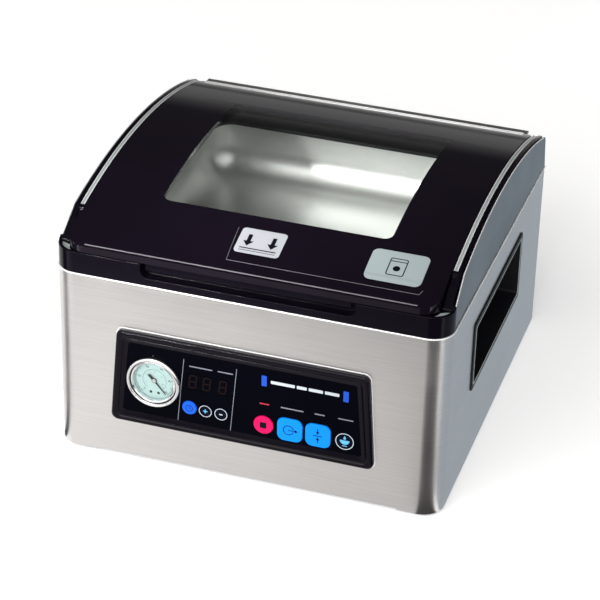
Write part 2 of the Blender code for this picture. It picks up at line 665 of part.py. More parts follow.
def valve_and_hoses(valve_mat, hose_mat):
    """Vent valve on the base, pump hose, and the thin pipe from chamber to gauge."""
    x, y = -0.140, 0.110
    profile = [(0.014, PLATE_TOP + GAP), (0.014, 0.044), (0.009, 0.046), (0.009, 0.060), (0.004, 0.061),
               (0.004, 0.070)]
    add("vent_valve", turned(profile, (x, y), "Z", 18), valve_mat)
    suction = smooth_path([(-0.0853 - GAP, 0.035, 0.080), (-0.100, 0.036, 0.081), (-0.118, 0.060, 0.088),
                           (-0.118, 0.092, 0.100), (-0.110, 0.102, 0.118),
                           (-0.110, 0.102, TUB_FLOOR - 0.0018)], 4)
    add("vacuum_hose", tube(suction, 0.0045), hose_mat)
    end_x = GAUGE_X + 0.008
    sense = smooth_path([(GAUGE_X, -0.1515, GAUGE_Z), (GAUGE_X, -0.1420, GAUGE_Z),
                         (GAUGE_X + 0.006, -0.114, 0.096), (end_x, -0.096, 0.116),
                         (end_x, -0.096, TUB_FLOOR - 0.0018)], 4)
    add("gauge_pipe", tube(sense, 0.0022), hose_mat)


def fan(frame_mat, rotor_mat, guard_mat):
    """Cooling fan behind the rear panel and its domed guard outside."""
    rear = REAR - SHEET - GAP
    front = rear - 0.015
    half = 0.030
    case = box(FAN_X - half, FAN_X + half, front, rear, FAN_Z - half, FAN_Z + half)
    item = add("fan_housing", case, frame_mat)
    combine(item, prism(circle(FAN_X, FAN_Z, 0.0283, 32), "Y", front + 0.0015, rear + 0.01))
    open_r = 0.0283
    for low, high in ((20, 100), (140, 220), (260, 340)):
        slot = arc(FAN_X, FAN_Z, open_r - 0.001, low, high, 8) + arc(FAN_X, FAN_Z, 0.013, high, low, 8)
        combine(item, prism(slot, "Y", front - 0.01, front + 0.004))
    blades = 5
    hub = 0.0110
    tip = 0.0270
    outline = []
    for i in range(blades):
        start = 360 / blades * i
        outline += arc(0, 0, hub, start, start + 44, 4)
        outline += arc(0, 0, tip, start + 50, start + 66, 2)
    rings = []
    for k in range(4):
        y = front + 0.0025 + 0.0105 * k / 3
        turn = math.radians(9 * k)
        ring = [(FAN_X + u * math.cos(turn) - v * math.sin(turn), y,
                 FAN_Z + u * math.sin(turn) + v * math.cos(turn)) for u, v in outline]
        rings.append(ring)
    add("fan_rotor", loft(rings), rotor_mat, (FAN_X, front, FAN_Z))
    face = REAR + PROUD
    thick = 0.0012
    dome = [(0.004, face), (0.023, face), (0.029, REAR + GAP + 0.001), (0.033, REAR + GAP + 0.001),
            (0.033, REAR + GAP), (0.0285, REAR + GAP), (0.0225, face - thick), (0.004, face - thick)]
    guard = add("fan_guard", turned(dome, (FAN_X, FAN_Z), "Y", 36), guard_mat)
    for i in range(5):
        z = FAN_Z - 0.018 + 0.009 * i - 0.002
        reach = math.sqrt(0.0215 ** 2 - (abs(z + 0.002 - FAN_Z) + 0.002) ** 2)
        for x0, x1 in ((FAN_X - reach, FAN_X - 0.0015), (FAN_X + 0.0015, FAN_X + reach)):
            combine(guard, prism(rounded(x0, x1, z, z + 0.004, 0.0015, 2), "Y", REAR + 0.002, face + 0.01))


def inlet_outline(inset):
    x, z = INLET
    return rounded(x - 0.0140 + inset, x + 0.0140 - inset, z - 0.0100 + inset, z + 0.0100 - inset, 0.002, 3)


def switch_outline(inset):
    x, z = SWITCH
    return rounded(x - 0.0095 + inset, x + 0.0095 - inset, z - 0.0135 + inset, z + 0.0135 - inset, 0.001, 2)


def socket(name, outline, wall, flange, depth, mat):
    """A moulded box through the rear panel, open behind, with a flange outside."""
    face = REAR + 0.0022
    floor = REAR - depth
    steps = [(wall, floor + wall), (wall, face), (-flange, face), (-flange, REAR + GAP), (GAP, REAR + GAP),
             (GAP, floor)]
    rings = [[(x, y, z) for x, z in outline(inset)] for inset, y in steps]
    add(name, loft(rings), mat)


def power_parts(black, rocker_mat):
    socket("power_inlet", inlet_outline, 0.0015, 0.004, 0.018, black)
    socket("switch_housing", switch_outline, 0.0012, 0.002, 0.014, black)
    x, z = SWITCH
    half = 0.0078
    y = REAR - 0.002
    tilt = math.radians(9)
    reach = 0.0112
    section = [(-reach, 0.0030), (0.0, 0.0014), (reach, 0.0030), (reach * 0.9, -0.0025), (0.0, -0.0050),
               (-reach * 0.9, -0.0025)]
    points = [(u * math.cos(tilt) - v * math.sin(tilt), u * math.sin(tilt) + v * math.cos(tilt))
              for u, v in section]
    rings = [[(w, y + v, z + u) for u, v in points] for w in (x - half, x + half)]
    add("power_rocker", loft(rings), rocker_mat, (x, y, z))


def build():
    clear_scene()
    steel = material("brushed_steel", (0.60, 0.59, 0.57), 0.32, 1.0)
    panel_steel = material("side_panel_steel", (0.34, 0.36, 0.38), 0.35, 1.0)
    zinc = material("zinc_sheet", (0.55, 0.56, 0.57), 0.45, 1.0)
    chamber_steel = material("chamber_steel", (0.62, 0.64, 0.62), 0.25, 1.0)
    black = material("black_moulding", (0.010, 0.009, 0.012), 0.25)
    lid_black = material("lid_black", (0.012, 0.009, 0.014), 0.08)
    matt_black = material("matt_black", (0.02, 0.02, 0.022), 0.6)
    clear = material("clear_acrylic", (0.85, 0.88, 0.88), 0.03, 0.0, 0.25)
    silver = material("silver_trim", (0.62, 0.64, 0.66), 0.25, 0.6)
    aluminium = material("aluminium", (0.60, 0.62, 0.60), 0.30, 1.0)
    rod_steel = material("rod_steel", (0.50, 0.50, 0.50), 0.25, 1.0)
    chrome = material("chrome", (0.75, 0.75, 0.76), 0.08, 1.0)
    rubber = material("black_rubber", (0.02, 0.02, 0.02), 0.8)
    silicone = material("silicone", (0.10, 0.10, 0.11), 0.6)
    tape = material("glass_cloth_tape", (0.45, 0.28, 0.14), 0.6)
    overlay = material("panel_overlay", (0.012, 0.013, 0.018), 0.18)
    dial = material("dial_white", (0.80, 0.86, 0.80), 0.5)
    board = material("circuit_board", (0.02, 0.16, 0.08), 0.5)
    motor = material("motor_grey", (0.25, 0.27, 0.29), 0.45, 0.5)
    head = material("cast_aluminium", (0.45, 0.46, 0.47), 0.5, 0.8)
    core = material("core_iron", (0.20, 0.20, 0.21), 0.55, 0.7)
    copper = material("coil_tape", (0.55, 0.38, 0.10), 0.5)
    brass = material("valve_brass", (0.60, 0.45, 0.20), 0.35, 1.0)
    hose = material("hose_blue", (0.05, 0.20, 0.45), 0.45)
    blue = material("button_blue", (0.02, 0.25, 0.72), 0.35)
    light_blue = material("button_light_blue", (0.05, 0.42, 0.80), 0.35)
    red = material("button_red", (0.72, 0.03, 0.10), 0.35)
    dark_button = material("button_dark", (0.02, 0.05, 0.10), 0.35)

    body_shell(steel)
    base_plate(zinc)
    rear_panel(zinc)
    upper_frame(black)
    for side, sign in (("left", -1), ("right", 1)):
        side_panel("side_panel_" + side, sign, panel_steel)
        trim_strip("trim_strip_" + side, sign, silver)
        hand_grip("hand_grip_" + side, sign, matt_black)
        lift_parts(side, sign, aluminium, rod_steel)
        for end, way in (("front", -1), ("rear", 1)):
            foot("foot_" + end + "_" + side, sign * FOOT_X, way * FOOT_Y, rubber)
    vacuum_chamber(chamber_steel)
    seal_bar(aluminium, tape)
    lid_shell(lid_black)
    lid_window(clear)
    lid_handle(black)
    lid_inner_parts(matt_black, silicone)
    hinge(aluminium, rod_steel)
    control_bezel(black)
    control_panel(overlay)
    display(overlay)
    buttons({"time": blue, "plus": dark_button, "minus": dark_button, "stop": red,
             "vacuum_seal": light_blue, "seal": light_blue, "marinate": dark_button})
    gauge(matt_black, chrome, dial, black, clear)
    boards(board)
    pump(motor, head)
    transformer(core, copper)
    valve_and_hoses(brass, hose)
    fan(matt_black, matt_black, chrome)
    power_parts(matt_black, red)


build()
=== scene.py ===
"""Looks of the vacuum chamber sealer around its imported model: materials, fine pieces, light and camera."""
import json
import math

import bmesh
import bpy
from mathutils import Matrix, Vector


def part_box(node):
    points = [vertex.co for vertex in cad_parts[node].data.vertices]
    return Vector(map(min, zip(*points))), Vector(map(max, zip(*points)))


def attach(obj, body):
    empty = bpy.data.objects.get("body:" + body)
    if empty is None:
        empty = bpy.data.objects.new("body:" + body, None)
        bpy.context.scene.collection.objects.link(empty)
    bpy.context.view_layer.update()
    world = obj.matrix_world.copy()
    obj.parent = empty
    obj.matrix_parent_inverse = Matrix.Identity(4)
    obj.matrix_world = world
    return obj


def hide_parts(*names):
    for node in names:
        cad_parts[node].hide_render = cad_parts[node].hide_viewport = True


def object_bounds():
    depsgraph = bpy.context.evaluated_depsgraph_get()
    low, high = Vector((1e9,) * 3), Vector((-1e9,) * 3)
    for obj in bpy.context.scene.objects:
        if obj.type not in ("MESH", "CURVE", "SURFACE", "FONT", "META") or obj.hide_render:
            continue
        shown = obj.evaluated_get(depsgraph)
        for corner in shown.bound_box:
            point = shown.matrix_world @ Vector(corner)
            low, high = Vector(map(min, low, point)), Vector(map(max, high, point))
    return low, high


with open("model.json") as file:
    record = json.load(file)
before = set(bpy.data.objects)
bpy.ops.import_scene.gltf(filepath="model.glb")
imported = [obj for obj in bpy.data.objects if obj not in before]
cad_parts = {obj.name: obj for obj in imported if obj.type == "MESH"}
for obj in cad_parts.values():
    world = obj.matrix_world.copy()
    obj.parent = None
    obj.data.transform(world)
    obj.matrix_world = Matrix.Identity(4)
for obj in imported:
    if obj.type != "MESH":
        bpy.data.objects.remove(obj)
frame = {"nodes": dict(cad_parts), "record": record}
CAD_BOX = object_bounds()
NODES = frame["nodes"]

# ---- driving dimensions, some read from the frame, the rest given ----
ARCH_R = 0.560                       # the lid's barrel arch
ARCH_Y = -0.009
ARCH_TOP = CAD_BOX[1].z
PANEL_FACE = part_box("control_panel")[0].y
BUTTON_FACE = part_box("button_stop")[0].y
BEZEL_LOW, BEZEL_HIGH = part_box("control_bezel")
DIAL_LOW, DIAL_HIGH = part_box("gauge_dial")
GAUGE = (DIAL_LOW + DIAL_HIGH) / 2
GAUGE_R = (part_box("gauge_ring")[1].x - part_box("gauge_ring")[0].x) / 2
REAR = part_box("rear_panel")[1].y
HALF_WIDTH = 0.180                   # of the body, at the foot of the side panels
PANEL_TOP_X = 0.1775                 # where the side panels lean in to, at the top of the arch
CORNER_R = 0.020                     # of the body's front corners, in plan
KINK_Y = -0.130                      # where the rims leave the arch and run down to the band
BAND_TOP = 0.206                     # of the front band
INK = 0.00012                        # thickness of a printed mark
THIN_INK = 0.00006                   # of a mark on top of another print
LAY = 0.00002                        # gap under a mark
LABEL_THICK = 0.00015
BADGE_THICK = 0.0002
BEND_STEP = 0.002                    # length of the facets that let a mark follow the arch
TINY = 0.0001                        # radius that closes a turned profile at its axis


# ---- materials ----
def new_material(name, color, roughness, metallic=0.0, **sockets):
    mat = bpy.data.materials.new(name)
    mat.use_nodes = True
    shader = principled(mat)
    shader.inputs["Base Color"].default_value = (*color, 1.0)
    shader.inputs["Roughness"].default_value = roughness
    shader.inputs["Metallic"].default_value = metallic
    for socket, value in sockets.items():
        shader.inputs[socket.replace("_", " ").title().replace("Ior", "IOR")].default_value = value
    return mat


def noise(mat, scale, detail=3.0):
    """Noise in the piece's own space; scale is features per metre along X, Y and Z."""
    tree = mat.node_tree
    place = tree.nodes.new("ShaderNodeTexCoord")
    stretch = tree.nodes.new("ShaderNodeMapping")
    stretch.inputs["Scale"].default_value = scale
    field = tree.nodes.new("ShaderNodeTexNoise")
    field.inputs["Scale"].default_value = 1.0
    field.inputs["Detail"].default_value = detail
    tree.links.new(place.outputs["Object"], stretch.inputs["Vector"])
    tree.links.new(stretch.outputs["Vector"], field.inputs["Vector"])
    return field.outputs["Fac"]


def remap(tree, value, start, end, low, high, smooth=False):
    """Turn start to end into low to high, held at both ends."""
    ramp = tree.nodes.new("ShaderNodeMapRange")
    if smooth:
        ramp.interpolation_type = "SMOOTHSTEP"
    for key, number in (("From Min", start), ("From Max", end), ("To Min", low), ("To Max", high)):
        ramp.inputs[key].default_value = number
    tree.links.new(value, ramp.inputs["Value"])
    return ramp.outputs["Result"]


def combine(tree, operation, a, b):
    node = tree.nodes.new("ShaderNodeMath")
    node.operation = operation
    tree.links.new(a, node.inputs[0])
    tree.links.new(b, node.inputs[1])
    return node.outputs["Value"]


def spread(mat, value, low, high):
    """Map noise, which keeps to the middle of 0 to 1, to a range."""
    return remap(mat.node_tree, value, 0.3, 0.7, low, high)


def principled(mat):
    return mat.node_tree.nodes["Principled BSDF"]


def vary_tone(mat, value, color, amount):
    mix = mat.node_tree.nodes.new("ShaderNodeMix")
    mix.data_type = "RGBA"
    mix.inputs["A"].default_value = (*(c * (1 - amount) for c in color), 1.0)
    mix.inputs["B"].default_value = (*(min(c * (1 + amount), 1.0) for c in color), 1.0)
    mat.node_tree.links.new(spread(mat, value, 0.0, 1.0), mix.inputs["Factor"])
    mat.node_tree.links.new(mix.outputs["Result"], principled(mat).inputs["Base Color"])


def vary_roughness(mat, value, low, high):
    mat.node_tree.links.new(spread(mat, value, low, high), principled(mat).inputs["Roughness"])


def emboss(mat, value, depth):
    bump = mat.node_tree.nodes.new("ShaderNodeBump")
    bump.inputs["Distance"].default_value = depth
    bump.inputs["Strength"].default_value = 1.0
    mat.node_tree.links.new(value, bump.inputs["Height"])
    mat.node_tree.links.new(bump.outputs["Normal"], principled(mat).inputs["Normal"])


def metal(name, color, roughness, streak, tone=0.05, rough_spread=0.06, depth=0.000004, metallic=1.0):
    """Sheet metal with a fine grain drawn out along the directions of low streak numbers."""
    mat = new_material(name, color, roughness, metallic)
    fine = noise(mat, streak, 4.0)
    broad = noise(mat, (9.0, 9.0, 14.0), 2.0)
    vary_tone(mat, fine, color, tone)
    vary_roughness(mat, broad, roughness - rough_spread, roughness + rough_spread)
    emboss(mat, fine, depth)
    return mat


def plastic(name, color, roughness, grain=900.0, depth=0.000003, tone=0.10, rough_spread=0.03,
            metallic=0.0, **sockets):
    """Moulded plastic: a fine grain, and slow drifts of gloss and tone."""
    mat = new_material(name, color, roughness, metallic, **sockets)
    drift = noise(mat, (18.0, 18.0, 18.0), 3.0)
    vary_tone(mat, drift, color, tone)
    vary_roughness(mat, drift, max(roughness - rough_spread, 0.01), roughness + rough_spread)
    emboss(mat, noise(mat, (grain,) * 3, 2.0), depth)
    return mat


def clear_sheet(name, tint, head_on, roughness):
    """Clear sheet: a mirror that grows towards grazing angles over a faint tint, so light passes through."""
    mat = bpy.data.materials.new(name)
    mat.use_nodes = True
    tree = mat.node_tree
    tree.nodes.remove(tree.nodes["Principled BSDF"])
    through = tree.nodes.new("ShaderNodeBsdfTransparent")
    through.inputs["Color"].default_value = (*tint, 1.0)
    gloss = tree.nodes.new("ShaderNodeBsdfGlossy")
    gloss.inputs["Roughness"].default_value = roughness
    gloss.inputs["Color"].default_value = (0.9, 0.9, 0.9, 1.0)
    tilt = tree.nodes.new("ShaderNodeLayerWeight")
    steep = tree.nodes.new("ShaderNodeMath")
    steep.operation = "POWER"
    steep.inputs[1].default_value = 5.0
    mix = tree.nodes.new("ShaderNodeMixShader")
    tree.links.new(tilt.outputs["Facing"], steep.inputs[0])
    tree.links.new(remap(tree, steep.outputs["Value"], 0.0, 1.0, head_on, 1.0), mix.inputs["Fac"])
    tree.links.new(through.outputs["BSDF"], mix.inputs[1])
    tree.links.new(gloss.outputs["BSDF"], mix.inputs[2])
    tree.links.new(mix.outputs["Shader"], tree.nodes["Material Output"].inputs["Surface"])
    return mat


def woven(name, color, pitch):
    """Glass cloth tape: crossed threads in relief."""
    mat = new_material(name, color, 0.55)
    tree = mat.node_tree
    place = tree.nodes.new("ShaderNodeTexCoord")
    threads = []
    for direction in ("X", "Y"):
        wave = tree.nodes.new("ShaderNodeTexWave")
        wave.bands_direction = direction
        wave.inputs["Scale"].default_value = 1.0 / pitch / math.pi
        tree.links.new(place.outputs["Object"], wave.inputs["Vector"])
        threads.append(wave.outputs["Fac"])
    both = combine(tree, "MULTIPLY", *threads)
    vary_tone(mat, both, color, 0.25)
    emboss(mat, both, 0.00005)
    return mat


HORIZONTAL = (14.0, 14.0, 1500.0)    # brushed along the sheet's length
MATERIALS = {
    "brushed_steel": metal("brushed_steel", (0.715, 0.70, 0.687), 0.34, HORIZONTAL, rough_spread=0.05),
    # far darker than the body's steel of the same kind: this base colour paints the shade on the upper side
    # panel's inward lean
    "side_panel_steel": metal("side_panel_steel", (0.22, 0.245, 0.265), 0.36, HORIZONTAL),
    "zinc_sheet": metal("zinc_sheet", (0.50, 0.51, 0.53), 0.46, (220.0, 220.0, 220.0), 0.10, 0.09),
    "chamber_steel": metal("chamber_steel", (0.66, 0.665, 0.655), 0.355, (160.0, 1200.0, 160.0), 0.03, 0.05,
                           metallic=0.7),
    "black_moulding": plastic("black_moulding", (0.003, 0.002, 0.005), 0.15, specular_ior_level=0.12),
    "lid_black": plastic("lid_black", (0.005, 0.003, 0.007), 0.06, 500.0, 0.000001,
                         specular_ior_level=0.45),
    "matt_black": plastic("matt_black", (0.006, 0.006, 0.008), 0.50, 1400.0, 0.00003,
                          specular_ior_level=0.25),
    "clear_acrylic": clear_sheet("clear_acrylic", (0.97, 0.98, 0.97), 0.03, 0.015),
    "silver_trim": plastic("silver_trim", (0.36, 0.40, 0.40), 0.24, 2200.0, 0.000004, 0.03),
    "aluminium": metal("aluminium", (0.74, 0.75, 0.73), 0.40, (10.0, 1300.0, 1300.0), 0.05),
    "rod_steel": metal("rod_steel", (0.50, 0.50, 0.50), 0.22, (400.0, 60.0, 400.0), 0.04),
    "chrome": metal("chrome", (0.82, 0.82, 0.83), 0.07, (300.0, 300.0, 300.0), 0.01, 0.02, 0.0000005),
    "black_rubber": plastic("black_rubber", (0.018, 0.018, 0.018), 0.75, 1800.0, 0.00005),
    "silicone": plastic("silicone", (0.09, 0.09, 0.10), 0.50, 1200.0, 0.00001),
    "glass_cloth_tape": woven("glass_cloth_tape", (0.42, 0.25, 0.12), 0.0009),
    "panel_overlay": plastic("panel_overlay", (0.001, 0.001, 0.003), 0.12, 2600.0, 0.000002,
                             specular_ior_level=0.02),
    "dial_white": plastic("dial_white", (0.44, 0.60, 0.61), 0.45, 2200.0, 0.000004, 0.03),
    "circuit_board": plastic("circuit_board", (0.015, 0.13, 0.06), 0.35, 1500.0, 0.00001),
    "motor_grey": plastic("motor_grey", (0.20, 0.22, 0.24), 0.42, 900.0, 0.00004),
    "cast_aluminium": metal("cast_aluminium", (0.42, 0.43, 0.44), 0.50, (700.0, 700.0, 700.0), 0.12, 0.08,
                            0.00006),
    "core_iron": metal("core_iron", (0.17, 0.17, 0.18), 0.50, (30.0, 2000.0, 30.0), 0.20, 0.08, 0.00005),
    "coil_tape": plastic("coil_tape", (0.50, 0.33, 0.08), 0.40, 1100.0, 0.00004),
    "valve_brass": metal("valve_brass", (0.62, 0.45, 0.19), 0.30, (60.0, 60.0, 1400.0), 0.06),
    "hose_blue": plastic("hose_blue", (0.04, 0.17, 0.40), 0.35),
    "button_blue": plastic("button_blue", (0.008, 0.110, 0.80), 0.34, 1800.0, 0.000004, 0.05,
                           specular_ior_level=0.10),
    "button_light_blue": plastic("button_light_blue", (0.0, 0.235, 0.84), 0.34, 1800.0, 0.000004, 0.05,
                                 specular_ior_level=0.10),
    "button_red": plastic("button_red", (0.70, 0.004, 0.095), 0.34, 1800.0, 0.000004, 0.05,
                          specular_ior_level=0.10),
    "button_dark": plastic("button_dark", (0.001, 0.003, 0.010), 0.22, 1800.0, 0.000004,
                           specular_ior_level=0.05),
    "print_grey": plastic("print_grey", (0.20, 0.21, 0.25), 0.5, 2400.0, 0.000003, specular_ior_level=0.10),
    "print_pale": plastic("print_pale", (0.50, 0.54, 0.58), 0.5, 2400.0, 0.000003),
    "print_blue": plastic("print_blue", (0.012, 0.075, 0.50), 0.5, 2400.0, 0.000003,
                          specular_ior_level=0.10),
    "print_cyan": plastic("print_cyan", (0.10, 0.42, 0.70), 0.5, 2400.0, 0.000003),
    "print_red": plastic("print_red", (0.45, 0.01, 0.04), 0.5, 2400.0, 0.000003),
    "print_dark": plastic("print_dark", (0.002, 0.003, 0.006), 0.5, 2400.0, 0.000003,
                          specular_ior_level=0.10),
    "unlit_segment": plastic("unlit_segment", (0.006, 0.0015, 0.0015), 0.35, 1800.0, 0.000002,
                             specular_ior_level=0.10),
    "label_white": plastic("label_white", (0.40, 0.41, 0.44), 0.38, 1600.0, 0.000004, 0.02),
    "badge_pale": plastic("badge_pale", (0.35, 0.41, 0.42), 0.30, 1600.0, 0.000004, 0.02),
    # near-white and mostly diffuse, so every hem, lip and edge in it shows as a bright line whichever way it
    # faces: a painted highlight
    "edge_painted_highlight": plastic("edge_painted_highlight", (0.90, 0.90, 0.90), 0.18, 2200.0, 0.000002, 0.02,
                             metallic=0.30),
    # film_edge also colours the painted highlight along the lid's front top edge
    "film_edge": plastic("film_edge", (0.20, 0.19, 0.21), 0.25, 1600.0, 0.000002),
}

# edge radius in metres for pieces that don't take the usual one
EDGE = 0.00035
EDGES = {"lid_shell": 0.0020, "lid_handle": 0.0008, "upper_frame": 0.0010, "control_bezel": 0.0005,
         "vacuum_chamber": 0.0004, "side_panel_left": 0.0006, "side_panel_right": 0.0006,
         "gauge_dial": 0.0, "gauge_lens": 0.0, "lid_window": 0.0002,
         "hand_grip_left": 0.0006, "hand_grip_right": 0.0006, "display_window": 0.0,
         "control_panel": 0.00015, "gauge_needle": 0.0001, "heating_strip": 0.0001, "hinge_profile": 0.0004}


SHARP_DEG = 32


def refine(item, width):
    """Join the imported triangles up, round their edges and shade them smooth; the points stay as packed."""
    mesh = item.data
    if mesh.has_custom_normals:
        bpy.context.view_layer.objects.active = item
        with bpy.context.temp_override(object=item, active_object=item):
            bpy.ops.mesh.customdata_custom_splitnormals_clear()
    for face in mesh.polygons:
        face.use_smooth = True
    weld = item.modifiers.new("weld", "WELD")
    weld.merge_threshold = 0.00001
    flat = item.modifiers.new("flat", "DECIMATE")
    flat.decimate_type = "DISSOLVE"
    flat.angle_limit = math.radians(0.4)
    if width:
        edge = item.modifiers.new("edge", "BEVEL")
        edge.width = width
        edge.segments = 2
        edge.limit_method = "ANGLE"
        edge.angle_limit = math.radians(SHARP_DEG)
        edge.harden_normals = False
    else:
        split = item.modifiers.new("split", "EDGE_SPLIT")
        split.split_angle = math.radians(SHARP_DEG)
    shade = item.modifiers.new("shade", "WEIGHTED_NORMAL")
    shade.keep_sharp = True


def dress_nodes():
    slots = {part["node"]: part["material_slot"] for part in frame["record"]["subparts"]}
    for name, item in NODES.items():
        item.data.materials.clear()
        item.data.materials.append(MATERIALS[slots[name]])
        refine(item, EDGES.get(name, EDGE))


# ---- modelling helpers ----
def link(item):
    bpy.context.scene.collection.objects.link(item)
    return item


def arch(y):
    return ARCH_TOP - ARCH_R + math.sqrt(ARCH_R ** 2 - (y - ARCH_Y) ** 2)


def arc(u, v, radius, start_deg, end_deg, steps):
    angles = [math.radians(start_deg + (end_deg - start_deg) * i / steps) for i in range(steps + 1)]
    return [(u + radius * math.cos(a), v + radius * math.sin(a)) for a in angles]


def circle(u, v, radius, steps=48):
    return arc(u, v, radius, 0, 360, steps)[:-1]


def rounded(u0, u1, v0, v1, radius, steps=6):
    return (arc(u0 + radius, v0 + radius, radius, 180, 270, steps)
            + arc(u1 - radius, v0 + radius, radius, 270, 360, steps)
            + arc(u1 - radius, v1 - radius, radius, 0, 90, steps)
            + arc(u0 + radius, v1 - radius, radius, 90, 180, steps))


def band(outer, inner):
    """An open band between two lines of equally many points, as a run of outlines."""
    return [[outer[i], outer[i + 1], inner[i + 1], inner[i]] for i in range(len(outer) - 1)]


def stroke(a, b, width):
    """A straight mark from a to b, as an outline."""
    run = Vector(b) - Vector(a)
    side = Vector((-run.y, run.x)).normalized() * width / 2
    return [tuple(Vector(p) + s) for p, s in ((a, side), (a, -side), (b, -side), (b, side))]


def piece(name, bm, slot, body="machine", smooth_deg=35.0, material=None):
    """Finish a mesh as a named piece that rides on a body."""
    bmesh.ops.recalc_face_normals(bm, faces=bm.faces[:])
    mesh = bpy.data.meshes.new(name)
    bm.to_mesh(mesh)
    bm.free()
    mesh.shade_smooth()
    mesh.set_sharp_from_angle(angle=math.radians(smooth_deg))
    mesh.materials.append(MATERIALS[material or slot])
    item = link(bpy.data.objects.new(name, mesh))
    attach(item, body)
    return item


def loft(rings, closed=False, bm=None):
    bm = bm or bmesh.new()
    rows = [[bm.verts.new(point) for point in ring] for ring in rings]
    count = len(rows[0])
    pairs = list(zip(rows, rows[1:])) + ([(rows[-1], rows[0])] if closed else [])
    for lower, upper in pairs:
        for i in range(count):
            j = (i + 1) % count
            bm.faces.new((lower[i], lower[j], upper[j], upper[i]))
    if not closed:
        bm.faces.new(rows[0])
        bm.faces.new(rows[-1])
    return bm


def turned(profile, centre, axis="Y", steps=96, closed=False):
    """Revolve (radius, distance along the axis) points about an axis through the centre, Y or Z."""
    rings = [[(u, w, v) if axis == "Y" else (u, v, w) for u, v in circle(*centre, r, steps)]
             for r, w in profile]
    return loft(rings, closed)


def sweep(points, radius, sides=10):
    """A round bar along points, with flat ends."""
    path = [Vector(p) for p in points]
    rings = []
    for i, here in enumerate(path):
        run = (path[min(i + 1, len(path) - 1)] - path[max(i - 1, 0)]).normalized()
        across = run.cross(Vector((0, 0, 1)) if abs(run.z) < 0.9 else Vector((0, 1, 0))).normalized()
        up = across.cross(run).normalized()
        rings.append([here + radius * (math.cos(a) * across + math.sin(a) * up)
                      for a in (2 * math.pi * k / sides for k in range(sides))])
    return loft(rings)


# ---- printed marks: thin solids laid on a surface ----
def on_front(depth_y):
    return lambda u, v, w: (u, depth_y - w, v)


def on_lid(lift=0.0):
    return lambda u, v, w: (u, v, arch(v) + lift + w)


def marks(name, shapes, surface, material, slot, body="machine", thick=INK, step=None, text=()):
    """Outlines, rings given as (outer, inner) pairs and text, printed on a surface as one piece."""
    bm = bmesh.new()
    for shape in shapes:
        if isinstance(shape[0][0], tuple):
            outer, inner = ([bm.verts.new((u, v, 0)) for u, v in loop] for loop in shape)
            for i in range(len(outer)):
                j = (i + 1) % len(outer)
                bm.faces.new((outer[i], outer[j], inner[j], inner[i]))
        else:
            bm.faces.new([bm.verts.new((u, v, 0)) for u, v in shape])
    for words, size, u, v in text:
        add_text(bm, words, size, u, v)
    bmesh.ops.remove_doubles(bm, verts=bm.verts[:], dist=0.000001)
    if step:
        low = min(vert.co.y for vert in bm.verts)
        high = max(vert.co.y for vert in bm.verts)
        for k in range(1, int((high - low) / step) + 1):
            everything = bm.verts[:] + bm.edges[:] + bm.faces[:]
            bmesh.ops.bisect_plane(bm, geom=everything, plane_co=(0, low + k * step, 0), plane_no=(0, 1, 0))
    bmesh.ops.triangulate(bm, faces=[f for f in bm.faces if len(f.verts) > 4])
    raised = bmesh.ops.extrude_face_region(bm, geom=bm.faces[:])
    tops = {element for element in raised["geom"] if isinstance(element, bmesh.types.BMVert)}
    for vert in bm.verts:
        vert.co = surface(vert.co.x, vert.co.y, thick if vert in tops else LAY)
    return piece(name, bm, slot, body, 30.0, material)


def add_text(bm, words, size, u, v):
    """Figures in the plain built-in font, centred at a point."""
    data = bpy.data.curves.new("figures", "FONT")
    data.body = words
    data.size = size
    data.align_x = "CENTER"
    data.align_y = "CENTER"
    data.resolution_u = 3
    item = link(bpy.data.objects.new("figures", data))
    bpy.context.view_layer.update()
    flat = item.evaluated_get(bpy.context.evaluated_depsgraph_get()).to_mesh()
    added = bmesh.new()
    added.from_mesh(flat)
    bmesh.ops.remove_doubles(added, verts=added.verts[:], dist=0.00001)
    bmesh.ops.translate(added, verts=added.verts[:], vec=(u, v, 0))
    copy = {vert: bm.verts.new(vert.co) for vert in added.verts}
    for face in added.faces:
        bm.faces.new([copy[vert] for vert in face.verts])
    added.free()
    bpy.data.objects.remove(item)
    bpy.data.curves.remove(data)


# ---- vacuum gauge ----
REST_TILT_DEG = -50.0                # of the pointer's tail, at rest


